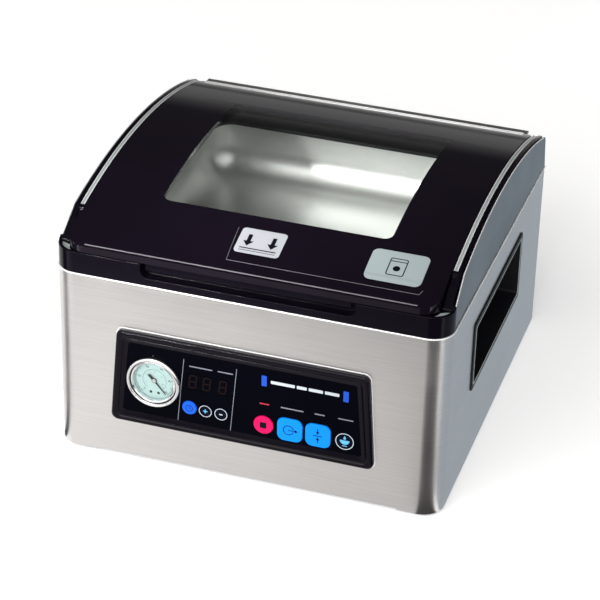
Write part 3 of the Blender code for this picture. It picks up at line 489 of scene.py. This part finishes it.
def gauge():
    """Polished two-step bezel, printed dial, hub, dial screws."""
    centre = (GAUGE.x, GAUGE.z)
    low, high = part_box("gauge_ring")
    face = low.y
    back = high.y
    inner = GAUGE_R - 0.0031
    outer = [(GAUGE_R, back), (GAUGE_R, face + 0.0020), (GAUGE_R - 0.0004, face + 0.0009),
             (GAUGE_R - 0.0012, face + 0.0002), (GAUGE_R - 0.0020, face), (GAUGE_R - 0.0027, face + 0.0003),
             (inner, face + 0.0010), (inner, back)]
    ring = piece("gauge_ring_polished", turned(outer, centre, closed=True), "chrome")
    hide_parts("gauge_ring")
    step = inner - 0.0010
    second = [(step, face + 0.0024), (step - 0.0004, face + 0.0019), (step - 0.0012, face + 0.0017),
              (step - 0.0018, face + 0.0021), (step - 0.0020, face + 0.0030),
              (step - 0.0021, DIAL_LOW.y - 0.0013),
              (step - 0.0009, DIAL_LOW.y - 0.0013), (step, face + 0.0040)]
    piece("gauge_inner_ring", turned(second, centre, closed=True), "chrome")
    groove = [(inner - 0.00005, face + 0.0026), (step + 0.00005, face + 0.0026), (step + 0.00005, back),
              (inner - 0.00005, back)]
    piece("gauge_groove", turned(groove, centre, closed=True), "matt_black")
    lens_r = step - 0.0022
    lens_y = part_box("gauge_lens")[1].y
    lens = [(TINY, lens_y + 0.0004), (lens_r, lens_y + 0.0004), (lens_r, lens_y),
            (lens_r * 0.5, lens_y - 0.0004), (TINY, lens_y - 0.0005)]
    glass = piece("gauge_lens_clear", turned(lens, centre), "clear_acrylic")
    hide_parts("gauge_lens")
    gauge_scales(centre, lens_r - 0.0006)
    hub_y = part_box("gauge_needle")[0].y
    hub = [(TINY, hub_y - 0.0007), (0.0012, hub_y - 0.0006), (0.0018, hub_y - 0.0003),
           (0.0019, hub_y - 0.0001), (TINY, hub_y - 0.0001)]
    piece("gauge_needle_hub", turned(hub, centre, steps=40), "chrome", "needle")
    tail = [(-0.0020, -0.00095), (-0.0078, -0.0013), (-0.0078, 0.0013), (-0.0020, 0.00095)]
    turn = Matrix.Rotation(math.radians(REST_TILT_DEG), 2)
    thick_tail = [tuple(Vector(centre) + turn @ Vector(p)) for p in tail]
    marks("gauge_needle_tail", [thick_tail], on_front(hub_y - LAY), "matt_black", "matt_black", "needle",
          0.0003)
    dial_y = DIAL_LOW.y
    for i, (u, v) in enumerate(((-0.0036, -0.0128), (0.0036, -0.0128))):
        head = [(TINY, dial_y - 0.0005), (0.0009, dial_y - 0.0005), (0.0013, dial_y - 0.0002),
                (0.0013, dial_y + 0.0001), (TINY, dial_y + 0.0001)]
        bm = turned(head, (GAUGE.x + u, GAUGE.z + v), steps=28)
        piece("gauge_dial_screw_%d" % (i + 1), bm, "matt_black")


def gauge_scales(centre, radius):
    """Two scales on the dial: ticks, arcs and figures."""
    surface = on_front(DIAL_LOW.y)
    first, sweep_deg, divisions = 228.0, 276.0, 50
    ticks = []
    inner_ticks = []
    for i in range(divisions + 1):
        angle = math.radians(first - sweep_deg * i / divisions)
        way = Vector((math.cos(angle), math.sin(angle)))
        major = i % 5 == 0
        length = 0.0021 if major else 0.0012
        a = Vector(centre) + way * (radius - 0.0004)
        b = Vector(centre) + way * (radius - 0.0004 - length)
        ticks.append(stroke(a, b, 0.00032 if major else 0.00016))
        if i % 2 == 0:
            c = Vector(centre) + way * (radius * 0.60)
            d = Vector(centre) + way * (radius * 0.60 - (0.0012 if i % 10 == 0 else 0.0007))
            inner_ticks.append(stroke(c, d, 0.00014))
    rim = arc(*centre, radius - 0.0003, first, first - sweep_deg, 80)
    rim_in = arc(*centre, radius - 0.00048, first, first - sweep_deg, 80)
    ticks += band(rim, rim_in)
    scale = arc(*centre, radius * 0.61, first, first - sweep_deg, 60)
    scale_in = arc(*centre, radius * 0.60, first, first - sweep_deg, 60)
    inner_ticks += band(scale, scale_in)
    outer_figures = []
    inner_figures = []
    for i in range(11):
        angle = math.radians(first - sweep_deg * i / 10)
        way = Vector((math.cos(angle), math.sin(angle)))
        if i % 2 == 0:
            spot = Vector(centre) + way * (radius - 0.0041)
            outer_figures.append((str(i * 10), 0.0030, spot.x, spot.y))
        else:
            spot = Vector(centre) + way * (radius * 0.60 - 0.0026)
            inner_figures.append((str(3 * i), 0.0017, spot.x, spot.y))
    marks("gauge_scale", ticks, surface, "print_dark", "matt_black", text=outer_figures, thick=THIN_INK)
    marks("gauge_inner_scale", inner_ticks, surface, "print_dark", "matt_black", text=inner_figures,
          thick=THIN_INK)


# ---- control panel ----
def panel_surround():
    """Sloping inner lip between the raised bezel and the panel's printed sheet."""
    def outline(inset):
        low_half = (BEZEL_HIGH.x - BEZEL_LOW.x) / 2 - inset
        high_half = low_half - 0.006
        middle = (BEZEL_HIGH.x + BEZEL_LOW.x) / 2
        z0, z1 = BEZEL_LOW.z + inset, BEZEL_HIGH.z - inset
        radius = max(0.0065 - inset * 0.35, 0.0015)
        corners = ((-low_half, z0, 180), (low_half, z0, 270), (high_half, z1, 0), (-high_half, z1, 90))
        points = []
        for x, z, start in corners:
            points += arc(middle + x - math.copysign(radius, x), z + (radius if z == z0 else -radius),
                          radius, start, start + 90, 6)
        return points
    face = BEZEL_LOW.y + 0.0013
    rings = [(0.0068, PANEL_FACE - 0.0001), (0.0068, face + 0.0001), (0.0076, face - 0.0003),
             (0.0110, PANEL_FACE - 0.0006), (0.0113, PANEL_FACE - 0.0001)]
    bm = loft([[(x, y, z) for x, z in outline(inset)] for inset, y in rings], closed=True)
    piece("panel_surround", bm, "black_moulding", smooth_deg=25)
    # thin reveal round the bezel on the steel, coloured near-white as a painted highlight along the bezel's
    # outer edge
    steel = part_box("body_shell")[0].y
    reveal = [(-0.0003, steel + 0.0001), (-0.0003, steel - 0.0003), (-0.0011, steel - 0.0003),
              (-0.0011, steel + 0.0001)]
    bm = loft([[(x, y, z) for x, z in outline(inset)] for inset, y in reveal], closed=True)
    piece("bezel_reveal", bm, "brushed_steel", smooth_deg=25, material="edge_painted_highlight")


def panel_hems():
    """Folded hem along the top of each side panel, and a light plate at each front corner that is a painted
    reflection on the glossy ledge.
    """
    low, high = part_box("side_panel_right")
    lean = (HALF_WIDTH - PANEL_TOP_X) / (ARCH_TOP - low.z)
    line = [(low.y, BAND_TOP + 0.0015)]
    line += [(y, arch(y) - 0.0012) for y in (KINK_Y + (high.y - 0.012 - KINK_Y) * i / 40 for i in range(41))]
    lid_low, lid_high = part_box("lid_shell")
    frame_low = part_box("upper_frame")[0]
    corner, lid_corner = 0.0203, 0.016
    # light patch on the ledge at the front corner: a painted reflection of the glossy black corner
    plate = arc(HALF_WIDTH - corner, frame_low.y + corner, corner - 0.0035, 290, 350, 10)
    plate += arc(lid_high.x - lid_corner, lid_low.y + lid_corner, lid_corner + 0.0008, 318, 350, 8)[::-1]
    for side, sign in (("left", -1), ("right", 1)):
        points = [(sign * (HALF_WIDTH - lean * (z - low.z) + 0.0001), y, z) for y, z in line]
        # the hem's near-white colour is a painted highlight along the top of the side panel
        piece("side_panel_hem_" + side, sweep(points, 0.0005, 8), "side_panel_steel", smooth_deg=50,
              material="edge_painted_highlight")
        bm = loft([[(sign * x, y, z) for x, y in plate] for z in (BAND_TOP - 0.0027, BAND_TOP - 0.0019)])
        piece("corner_painted_reflection_" + side, bm, "silver_trim", smooth_deg=25)


def hinge_lips():
    """Lips along the rear of the lid, where the hinge profile clips over it, coloured near-white as painted
    highlights.
    """
    for name, y0, y1, rise in (("rear", 0.1652, 0.1660, 0.0010), ("fore", 0.1604, 0.1611, 0.0006)):
        section = [(y0, arch(y0) - 0.0010), (y0, arch(y0) + rise), (y1, arch(y1) + rise),
                   (y1, arch(y1) - 0.0010)]
        bm = loft([[(x, y, z) for y, z in section] for x in (-0.1600, 0.1600)])
        piece("hinge_lip_" + name, bm, "aluminium", "lid", smooth_deg=25, material="edge_painted_highlight")


def grip_lips():
    """Thin light lip round the mouth of each hand grip."""
    for side, sign in (("left", -1), ("right", 1)):
        low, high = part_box("hand_grip_" + side)
        face = max(abs(low.x), abs(high.x))
        rings = []
        for inset, x in ((0.0044, face - 0.0002), (0.0044, face + 0.0002), (0.0056, face + 0.0002),
                         (0.0056, face - 0.0002)):
            outline = rounded(low.y + inset, high.y - inset, low.z + inset, high.z - inset, 0.0025, 4)
            rings.append([(sign * x, y, z) for y, z in outline])
        piece("hand_grip_lip_" + side, loft(rings, closed=True), "silver_trim", smooth_deg=25)


def segment_digit(x, z, width, height, lean=0.10):
    """The seven bars of a numeric display, all alike."""
    bar = 0.0013
    gap = 0.0003
    middle = z + height / 2
    spans = [((x + gap, z), (x + width - gap, z)), ((x + gap, middle), (x + width - gap, middle)),
             ((x + gap, z + height), (x + width - gap, z + height))]
    for side in (x, x + width):
        spans.append(((side, z + gap), (side, middle - gap)))
        spans.append(((side, middle + gap), (side, z + height - gap)))
    shapes = []
    for a, b in spans:
        shapes.append([(u + lean * (v - z), v) for u, v in stroke(a, b, bar)])
    return shapes


def panel_marks():
    """Dividers, caption bars and the display's unlit digits."""
    surface = on_front(PANEL_FACE)
    marks("panel_dividers", [stroke((-0.0565, 0.1190), (-0.0624, 0.0515), 0.00055),
                             stroke((-0.0075, 0.1190), (-0.0130, 0.0510), 0.00055)],
          surface, "print_grey", "panel_overlay")
    captions = [(-0.0515, -0.0300, 0.1126, 0.0011), (-0.0250, -0.0108, 0.1128, 0.0011),
                (0.0335, 0.0545, 0.0884, 0.0012), (0.0645, 0.0740, 0.0886, 0.0012),
                (0.0860, 0.1000, 0.0886, 0.0010)]
    bars = [rounded(x0, x1, z - h / 2, z + h / 2, h / 2 - 0.0001, 4) for x0, x1, z, h in captions]
    marks("panel_caption_bars", bars, surface, "print_grey", "panel_overlay")
    marks("panel_stop_bar", [rounded(0.0140, 0.0230, 0.0879, 0.0891, 0.0005, 4)], surface, "print_red",
          "panel_overlay")
    marks("panel_blue_bars", [rounded(x, x + 0.0048, 0.1070, 0.1178, 0.0007, 3) for x in (0.0155, 0.0901)],
          surface, "print_blue", "button_blue")
    title = [rounded(x, x + width, 0.1109, 0.1140, 0.0005, 4)
             for x, width in ((0.0240, 0.0220), (0.0478, 0.0090), (0.0586, 0.0130), (0.0734, 0.0130))]
    marks("panel_title_lines", title, surface, "print_pale", "panel_overlay")
    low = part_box("display_window")[0]
    digits = []
    for x in (-0.0520, -0.0390, -0.0240):
        digits += segment_digit(x, low.z + 0.0022, 0.0062, 0.0125)
    marks("display_segments", digits, on_front(low.y), "unlit_segment", "panel_overlay")


def button_marks():
    """Plain pictograms on the button caps."""
    surface = on_front(BUTTON_FACE)
    centres = {}
    for name in ("time", "plus", "minus", "stop", "vacuum_seal", "seal", "marinate"):
        low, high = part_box("button_" + name)
        centres[name] = ((low.x + high.x) / 2, (low.z + high.z) / 2, (high.x - low.x) / 2)

    def put(name, shapes, ink, suffix="mark"):
        slot = {"time": "button_blue", "stop": "button_red", "vacuum_seal": "button_light_blue",
                "seal": "button_light_blue"}.get(name, "button_dark")
        marks("button_%s_%s" % (name, suffix), shapes, surface, ink, slot, "button_" + name)

    for name, width in (("plus", 0.00062), ("minus", 0.00062), ("marinate", 0.00070)):
        x, z, r = centres[name]
        put(name, [(circle(x, z, r - 0.0008), circle(x, z, r - 0.0008 - width))], "print_pale", "ring")
    x, z = centres["plus"][:2]
    put("plus", [stroke((x - 0.0020, z), (x + 0.0020, z), 0.0010),
                 stroke((x, z + 0.0005), (x, z + 0.0020), 0.0010),
                 stroke((x, z - 0.0005), (x, z - 0.0020), 0.0010)], "print_cyan")
    x, z = centres["minus"][:2]
    put("minus", [stroke((x - 0.0016, z - 0.0002), (x + 0.0016, z - 0.0002), 0.0010)], "print_pale")
    x, z = centres["time"][:2]
    hands = [stroke((x, z), (x, z + 0.0023), 0.0005), stroke((x, z), (x + 0.0016, z), 0.0005)]
    put("time", [(circle(x, z, 0.0034), circle(x, z, 0.0029))] + hands, "print_dark")
    x, z = centres["stop"][:2]
    half = 0.0030
    put("stop", [rounded(x - half, x + half, z - half, z + half, 0.0004, 3)], "print_dark")
    x, z = centres["vacuum_seal"][:2]
    arrow = [stroke((x - 0.0012, z), (x + 0.0050, z), 0.0007),
             [(x + 0.0048, z - 0.0017), (x + 0.0078, z), (x + 0.0048, z + 0.0017)]]
    cup = band(arc(x - 0.0010, z, 0.0050, 14, 346, 36), arc(x - 0.0010, z, 0.0043, 14, 346, 36))
    put("vacuum_seal", cup + arrow, "print_dark")
    x, z = centres["seal"][:2]
    icon = [stroke((x - 0.0042, z), (x + 0.0042, z), 0.0007)]
    for sign in (-1, 1):
        icon.append(stroke((x, z + sign * 0.0074), (x, z + sign * 0.0040), 0.0007))
        icon.append([(x - 0.0016, z + sign * 0.0042), (x + 0.0016, z + sign * 0.0042),
                     (x, z + sign * 0.0014)])
    put("seal", icon, "print_dark")
    x, z = centres["marinate"][:2]
    bowl = arc(x, z + 0.0012, 0.0044, 180, 360, 20)
    drop = arc(x, z + 0.0032, 0.0012, 160, 380, 12) + [(x, z + 0.0060)]
    foot = stroke((x - 0.0022, z - 0.0046), (x + 0.0022, z - 0.0046), 0.0008)
    put("marinate", [bowl, drop, foot], "print_cyan")


# ---- lid ----
def lid_marks():
    """Plain stickers on the lid's front part, one with two arrows and one with a bag, the film's edge, and a
    painted highlight on the front edge.
    """
    def mark(name, shapes, ink, slot, thick, lift=0.0):
        marks(name, shapes, on_lid(lift), ink, slot, "lid", thick, BEND_STEP)
    cx, cy = -0.0015, -0.1365
    label = rounded(cx - 0.0205, cx + 0.0205, cy - 0.0165, cy + 0.0140, 0.0035, 6)
    mark("lid_press_label", [label], "label_white", "dial_white", LABEL_THICK)
    arrows = []
    for x in (cx - 0.0110, cx + 0.0110):
        arrows.append(rounded(x - 0.0018, x + 0.0018, cy - 0.0020, cy + 0.0065, 0.0004, 3))
        arrows.append([(x - 0.0048, cy - 0.0018), (x, cy - 0.0078), (x + 0.0048, cy - 0.0018)])
    arrows.append(stroke((cx - 0.0165, cy - 0.0105), (cx + 0.0165, cy - 0.0105), 0.0012))
    arrows.append(stroke((cx - 0.0165, cy - 0.0132), (cx + 0.0165, cy - 0.0132), 0.0006))
    mark("lid_press_arrows", arrows, "print_dark", "matt_black", THIN_INK, LABEL_THICK)
    x0, x1, y0, y1 = 0.0955, 0.1465, -0.1565, -0.1190
    badge = rounded(x0, x1, y0, y1, 0.0060, 8)
    mark("lid_badge", [badge], "badge_pale", "dial_white", BADGE_THICK)
    bx, by = (x0 + x1) / 2, (y0 + y1) / 2
    bag_out = rounded(bx - 0.0080, bx + 0.0080, by - 0.0105, by + 0.0105, 0.0020, 4)
    bag_in = rounded(bx - 0.0070, bx + 0.0070, by - 0.0095, by + 0.0095, 0.0012, 4)
    seam = stroke((bx - 0.0068, by + 0.0065), (bx + 0.0068, by + 0.0065), 0.0010)
    bag = [(bag_out, bag_in), seam, circle(bx, by - 0.0020, 0.0032, 28)]
    mark("lid_badge_bag", bag, "print_dark", "matt_black", THIN_INK, BADGE_THICK)
    film = [stroke((-0.0240, -0.1640), (0.1480, -0.1640), 0.0004),
            stroke((0.1480, -0.1640), (0.1500, -0.1590), 0.0004),
            stroke((-0.0240, -0.1640), (-0.0262, -0.1240), 0.0003)]
    mark("lid_film_edge", film, "film_edge", "matt_black", 0.00010)
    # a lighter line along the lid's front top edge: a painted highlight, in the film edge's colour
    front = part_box("lid_shell")[0].y + 0.0027
    mark("lid_front_painted_highlight", [stroke((-0.1500, front), (0.1500, front), 0.0012)], "film_edge", "matt_black",
         0.00008)


def trim_strips():
    """Strips beside the lid: a shallow channel between two raised edges, which are coloured near-white as
    painted highlights.
    """
    for side in ("left", "right"):
        low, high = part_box("trim_strip_" + side)
        width = high.x - low.x
        ridge, sink, foot = 0.0008, 0.0005, 0.0072
        section = [(0, -foot), (0, -0.0004), (0.0003, 0), (ridge, 0), (ridge + 0.0003, -sink),
                   (width - ridge - 0.0003, -sink), (width - ridge, 0), (width - 0.0003, 0), (width, -0.0004),
                   (width, -foot)]
        steps = 60
        rings = []
        for i in range(steps + 1):
            y = low.y + (high.y - low.y) * i / steps
            rings.append([(low.x + u, y, arch(y) - 0.0003 + w) for u, w in section])
        strip = piece("trim_strip_%s_fine" % side, loft(rings), "silver_trim", smooth_deg=25)
        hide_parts("trim_strip_" + side)
        for end, start in (("outer", 0.0), ("inner", width - ridge)):
            rings = []
            for i in range(steps + 1):
                y = low.y + 0.0002 + (high.y - low.y - 0.0004) * i / steps
                rings.append([(low.x + start + u, y, arch(y) - 0.0003 + w)
                              for u, w in ((0, -0.0020), (0, 0.0001), (ridge, 0.0001), (ridge, -0.0020))])
            piece("trim_edge_%s_%s" % (side, end), loft(rings), "silver_trim", smooth_deg=25,
                  material="edge_painted_highlight")


def seam_bead():
    """Rolled hem along the upper edge of the body sheet, coloured near-white as a painted highlight along the
    seam.
    """
    low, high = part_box("body_shell")
    panel_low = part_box("side_panel_right")[0]
    radius, out = 0.0008, 0.0002
    x, y = high.x + out, low.y - out
    bend = CORNER_R + out
    bottom = high.z - radius
    rear = panel_low.z - radius
    path = ([(-x, high.y, rear), (-x, panel_low.y, bottom)]
            + [(u, v, bottom) for u, v in arc(-x + bend, y + bend, bend, 180, 270, 10)]
            + [(u, v, bottom) for u, v in arc(x - bend, y + bend, bend, 270, 360, 10)]
            + [(x, panel_low.y, bottom), (x, high.y, rear)])
    bm = sweep(path, radius, 10)
    piece("body_seam_hem", bm, "brushed_steel", smooth_deg=50, material="edge_painted_highlight")


# ---- rear ----
REAR_SCREW_R, FAN_SCREW_R, BASE_SCREW_R = 0.0034, 0.0024, 0.0032


def screw(name, x, y, z, normal, radius):
    """Pan head with a cross recess, standing on a face with this outward normal."""
    steps = [(0.0001, 0.62), (0.45, 0.60), (0.80, 0.42), (0.98, 0.12), (1.0, 0.0), (0.0001, 0.0)]
    bm = turned([(max(r * radius, 0.00005), h * radius) for r, h in steps], (0, 0), "Z", 28)
    slot_w = radius * 0.16
    slot_l = radius * 0.62
    cross = bmesh.new()
    for turn in (0, 1):
        corners = [(-slot_l, -slot_w), (slot_l, -slot_w), (slot_l, slot_w), (-slot_l, slot_w)]
        if turn:
            corners = [(v, u) for u, v in corners]
        loft([[(u, v, w) for u, v in corners] for w in (radius * 0.30, radius)], False, cross)
    head = piece(name, bm, "rod_steel")
    cutter_mesh = bpy.data.meshes.new(name + "_recess")
    bmesh.ops.recalc_face_normals(cross, faces=cross.faces[:])
    cross.to_mesh(cutter_mesh)
    cross.free()
    cutter = link(bpy.data.objects.new(name + "_recess", cutter_mesh))
    cut = head.modifiers.new("recess", "BOOLEAN")
    cut.operation = "DIFFERENCE"
    cut.use_self = True
    cut.object = cutter
    shape = bpy.data.meshes.new_from_object(head.evaluated_get(bpy.context.evaluated_depsgraph_get()))
    head.modifiers.clear()
    head.data = shape
    bpy.data.objects.remove(cutter)
    turn = Vector((0, 0, 1)).rotation_difference(Vector(normal)).to_matrix().to_4x4()
    shape.transform(Matrix.Translation((x, y, z)) @ turn)
    shape.shade_smooth()
    shape.set_sharp_from_angle(angle=math.radians(30))


def box_middle(node):
    low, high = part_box(node)
    return (low.x + high.x) / 2, (low.z + high.z) / 2


def rear_details():
    """Screws of the rear panel and the fan guard, and the pins in the mains inlet."""
    edge_x, low_z, high_z = 0.168, 0.018, 0.172
    spots = [(sx * edge_x, z) for sx in (-1, 1) for z in (low_z, 0.095, high_z)]
    spots += [(0.0, low_z), (0.0, high_z)]
    for i, (x, z) in enumerate(spots):
        screw("rear_screw_%d" % (i + 1), x, REAR, z, (0, 1, 0), REAR_SCREW_R)
    fx, fz = box_middle("fan_guard")
    spots = [(fx + sx * 0.0250, fz + sz * 0.0250) for sx in (-1, 1) for sz in (-1, 1)]
    for i, (x, z) in enumerate(spots):
        screw("fan_screw_%d" % (i + 1), x, REAR, z, (0, 1, 0), FAN_SCREW_R)
    ix, iz = box_middle("power_inlet")
    pins = bmesh.new()
    for u, v in ((-0.0070, -0.002), (0.0, 0.002), (0.0070, -0.002)):
        outline = rounded(ix + u - 0.0010, ix + u + 0.0010, iz + v - 0.0020, iz + v + 0.0020, 0.0003, 3)
        loft([[(x, y, z) for x, z in outline] for y in (REAR - 0.0165, REAR - 0.0050)], False, pins)
    piece("power_inlet_pins", pins, "rod_steel")


def base_details():
    """Screws under the base plate."""
    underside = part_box("base_plate")[0].z
    spots = [(sx * 0.155, y) for sx in (-1, 1) for y in (-0.060, 0.060)] + [(0.0, -0.155), (0.0, 0.155)]
    for i, (x, y) in enumerate(spots):
        screw("base_screw_%d" % (i + 1), x, y, underside, (0, 0, -1), BASE_SCREW_R)


# ---- light, floor and camera ----
LENS_MM = 149.5
SENSOR_MM = 36.0


def camera():
    """Long-lens view from the front right, looking down."""
    azimuth, elevation, roll = (math.radians(a) for a in (17.11, 31.20, 1.49))
    distance = 2.318
    aside, below = 0.0068, 0.0276        # of the camera's axis from the target
    target = Vector((0.0, 0.0, 0.12))
    back = Vector((math.sin(azimuth) * math.cos(elevation), -math.cos(azimuth) * math.cos(elevation),
                   math.sin(elevation)))
    right = Vector((math.cos(azimuth), math.sin(azimuth), 0.0))
    up = back.cross(right)
    place = target - aside * right - below * up + distance * back
    turned_right = math.cos(roll) * right + math.sin(roll) * up
    turned_up = math.cos(roll) * up - math.sin(roll) * right
    data = bpy.data.cameras.new("camera")
    data.lens = LENS_MM
    data.sensor_width = SENSOR_MM
    item = bpy.data.objects.new("camera", data)
    rotation = Matrix((turned_right, turned_up, back)).transposed()
    item.matrix_world = Matrix.Translation(place) @ rotation.to_4x4()
    bpy.context.scene.camera = link(item)


def lamp(name, kind, place, target, power):
    """A light at a place, aimed at a target."""
    data = bpy.data.lights.new(name, kind)
    data.energy = power
    item = link(bpy.data.objects.new(name, data))
    item.location = place
    item.rotation_euler = (Vector(target) - item.location).to_track_quat("-Z", "Y").to_euler()
    return data


def softbox(name, place, target, width, height, power):
    data = lamp(name, "AREA", place, target, power)
    data.shape = "RECTANGLE"
    data.size = width
    data.size_y = height


def lights():
    softbox("overhead", (0.0, -1.3, 2.4), (0, -0.6, 0), 2.6, 1.4, 4)
    softbox("strip", (-0.5, -2.0, 1.75), (0, 0, 0.15), 2.2, 0.8, 24)
    beam = lamp("chamber", "SPOT", (-0.70, -1.92, 0.95), (0.03, 0.10, 0.185), 430)
    beam.spot_size = math.radians(7)
    beam.spot_blend = 0.6
    beam.shadow_soft_size = 0.12


def card(name, outline, height, color, glow_x, glow_y=(0, 1, 1, 1)):
    """A flat card seen only in reflections; its glow is a ramp (start, end, low, high) along X times one
    along Y."""
    bm = bmesh.new()
    bm.faces.new([bm.verts.new((x, y, height)) for x, y in outline])
    mesh = bpy.data.meshes.new("card_" + name)
    bm.to_mesh(mesh)
    bm.free()
    mat = new_material("card_" + name, (0, 0, 0), 1.0)
    tree = mat.node_tree
    shader = principled(mat)
    shader.inputs["Specular IOR Level"].default_value = 0.0
    shader.inputs["Emission Color"].default_value = (*color, 1)
    place = tree.nodes.new("ShaderNodeTexCoord")
    split = tree.nodes.new("ShaderNodeSeparateXYZ")
    tree.links.new(place.outputs["Object"], split.inputs["Vector"])
    along_x = remap(tree, split.outputs["X"], *glow_x)
    along_y = remap(tree, split.outputs["Y"], *glow_y)
    tree.links.new(combine(tree, "MULTIPLY", along_x, along_y), shader.inputs["Emission Strength"])
    mesh.materials.append(mat)
    item = link(bpy.data.objects.new("card_" + name, mesh))
    for ray in ("camera", "diffuse", "shadow", "transmission"):
        setattr(item, "visible_" + ray, False)


def reflectors():
    """Cards on the floor for the steel's reflections: dark beside the corners, cool beside the side."""
    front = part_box("body_shell")[0].y
    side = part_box("body_shell")[1].x

    def sector(sign, start, end, reach):
        """A pie slice from the corner's centre, between two angles from the front round to the side."""
        x, y = sign * (side - CORNER_R), front + CORNER_R
        angles = [math.radians(start + (end - start) * i / 12) for i in range(13)]
        return [(x, y)] + [(x + sign * reach * math.sin(a), y - reach * math.cos(a)) for a in angles]

    card("front", [(-0.42, front), (-0.42, -0.80), (0.30, -0.80), (0.30, front)], 0.0004, (1.0, 0.985, 0.975),
         (-0.20, 0.16, 1.05, 0.62), (-0.41, -0.50, 1.0, 0.35))
    card("side", sector(1, 74, 178, 1.2), 0.0004, (0.80, 0.90, 1.00), (0, 1, 0.50, 0.50))
    card("corner_right", sector(1, -4, 58, 0.9), 0.0008, (0.30, 0.22, 0.26), (0, 1, 0.03, 0.03))
    card("corner_left", sector(-1, 58, 84, 0.7), 0.0008, (0.30, 0.26, 0.30), (0, 1, 0.05, 0.05))


def floor():
    """Pale floor, lifted a little round the machine and fading far out."""
    bm = bmesh.new()
    bmesh.ops.create_grid(bm, x_segments=1, y_segments=1, size=6.0)
    mesh = bpy.data.meshes.new("floor")
    bm.to_mesh(mesh)
    bm.free()
    item = link(bpy.data.objects.new("floor", mesh))
    item.location = (0, 0, -0.0002)
    mat = new_material("floor", (0.93, 0.93, 0.93), 0.9)
    tree = mat.node_tree
    place = tree.nodes.new("ShaderNodeTexCoord")
    distance = tree.nodes.new("ShaderNodeVectorMath")
    distance.operation = "LENGTH"
    tree.links.new(place.outputs["Object"], distance.inputs[0])
    fade = remap(tree, distance.outputs["Value"], 1.6, 3.4, 0.93, 0.25, smooth=True)
    lift = remap(tree, distance.outputs["Value"], 1.3, 2.4, 0.34, 0.0, smooth=True)
    shader = principled(mat)
    tree.links.new(fade, shader.inputs["Base Color"])
    tree.links.new(lift, shader.inputs["Emission Strength"])
    shader.inputs["Emission Color"].default_value = (1, 1, 1, 1)
    mesh.materials.append(mat)


def studio():
    """Glow from in front, and a low band of it along the horizon behind."""
    world = bpy.data.worlds.new("studio")
    world.use_nodes = True
    tree = world.node_tree
    glow = tree.nodes["Background"]
    direction = tree.nodes.new("ShaderNodeTexCoord")
    split = tree.nodes.new("ShaderNodeSeparateXYZ")
    tree.links.new(direction.outputs["Generated"], split.inputs["Vector"])
    front = remap(tree, split.outputs["Y"], 0.10, -0.55, 0.04, 1.6, smooth=True)
    horizon = remap(tree, split.outputs["Z"], 0.26, 0.03, 0.03, 0.32, smooth=True)
    behind = remap(tree, split.outputs["Y"], 0.45, 0.80, 0.0, 1.0, smooth=True)
    rear_glow = combine(tree, "MULTIPLY", behind, horizon)
    tree.links.new(combine(tree, "MAXIMUM", front, rear_glow), glow.inputs["Strength"])
    glow.inputs["Color"].default_value = (1.0, 0.99, 0.975, 1)
    bpy.context.scene.world = world
    bpy.context.scene.view_settings.view_transform = "Standard"


camera()
dress_nodes()
gauge()
panel_surround()
panel_marks()
button_marks()
lid_marks()
trim_strips()
seam_bead()
grip_lips()
panel_hems()
hinge_lips()
rear_details()
base_details()
floor()
reflectors()
studio()
lights()
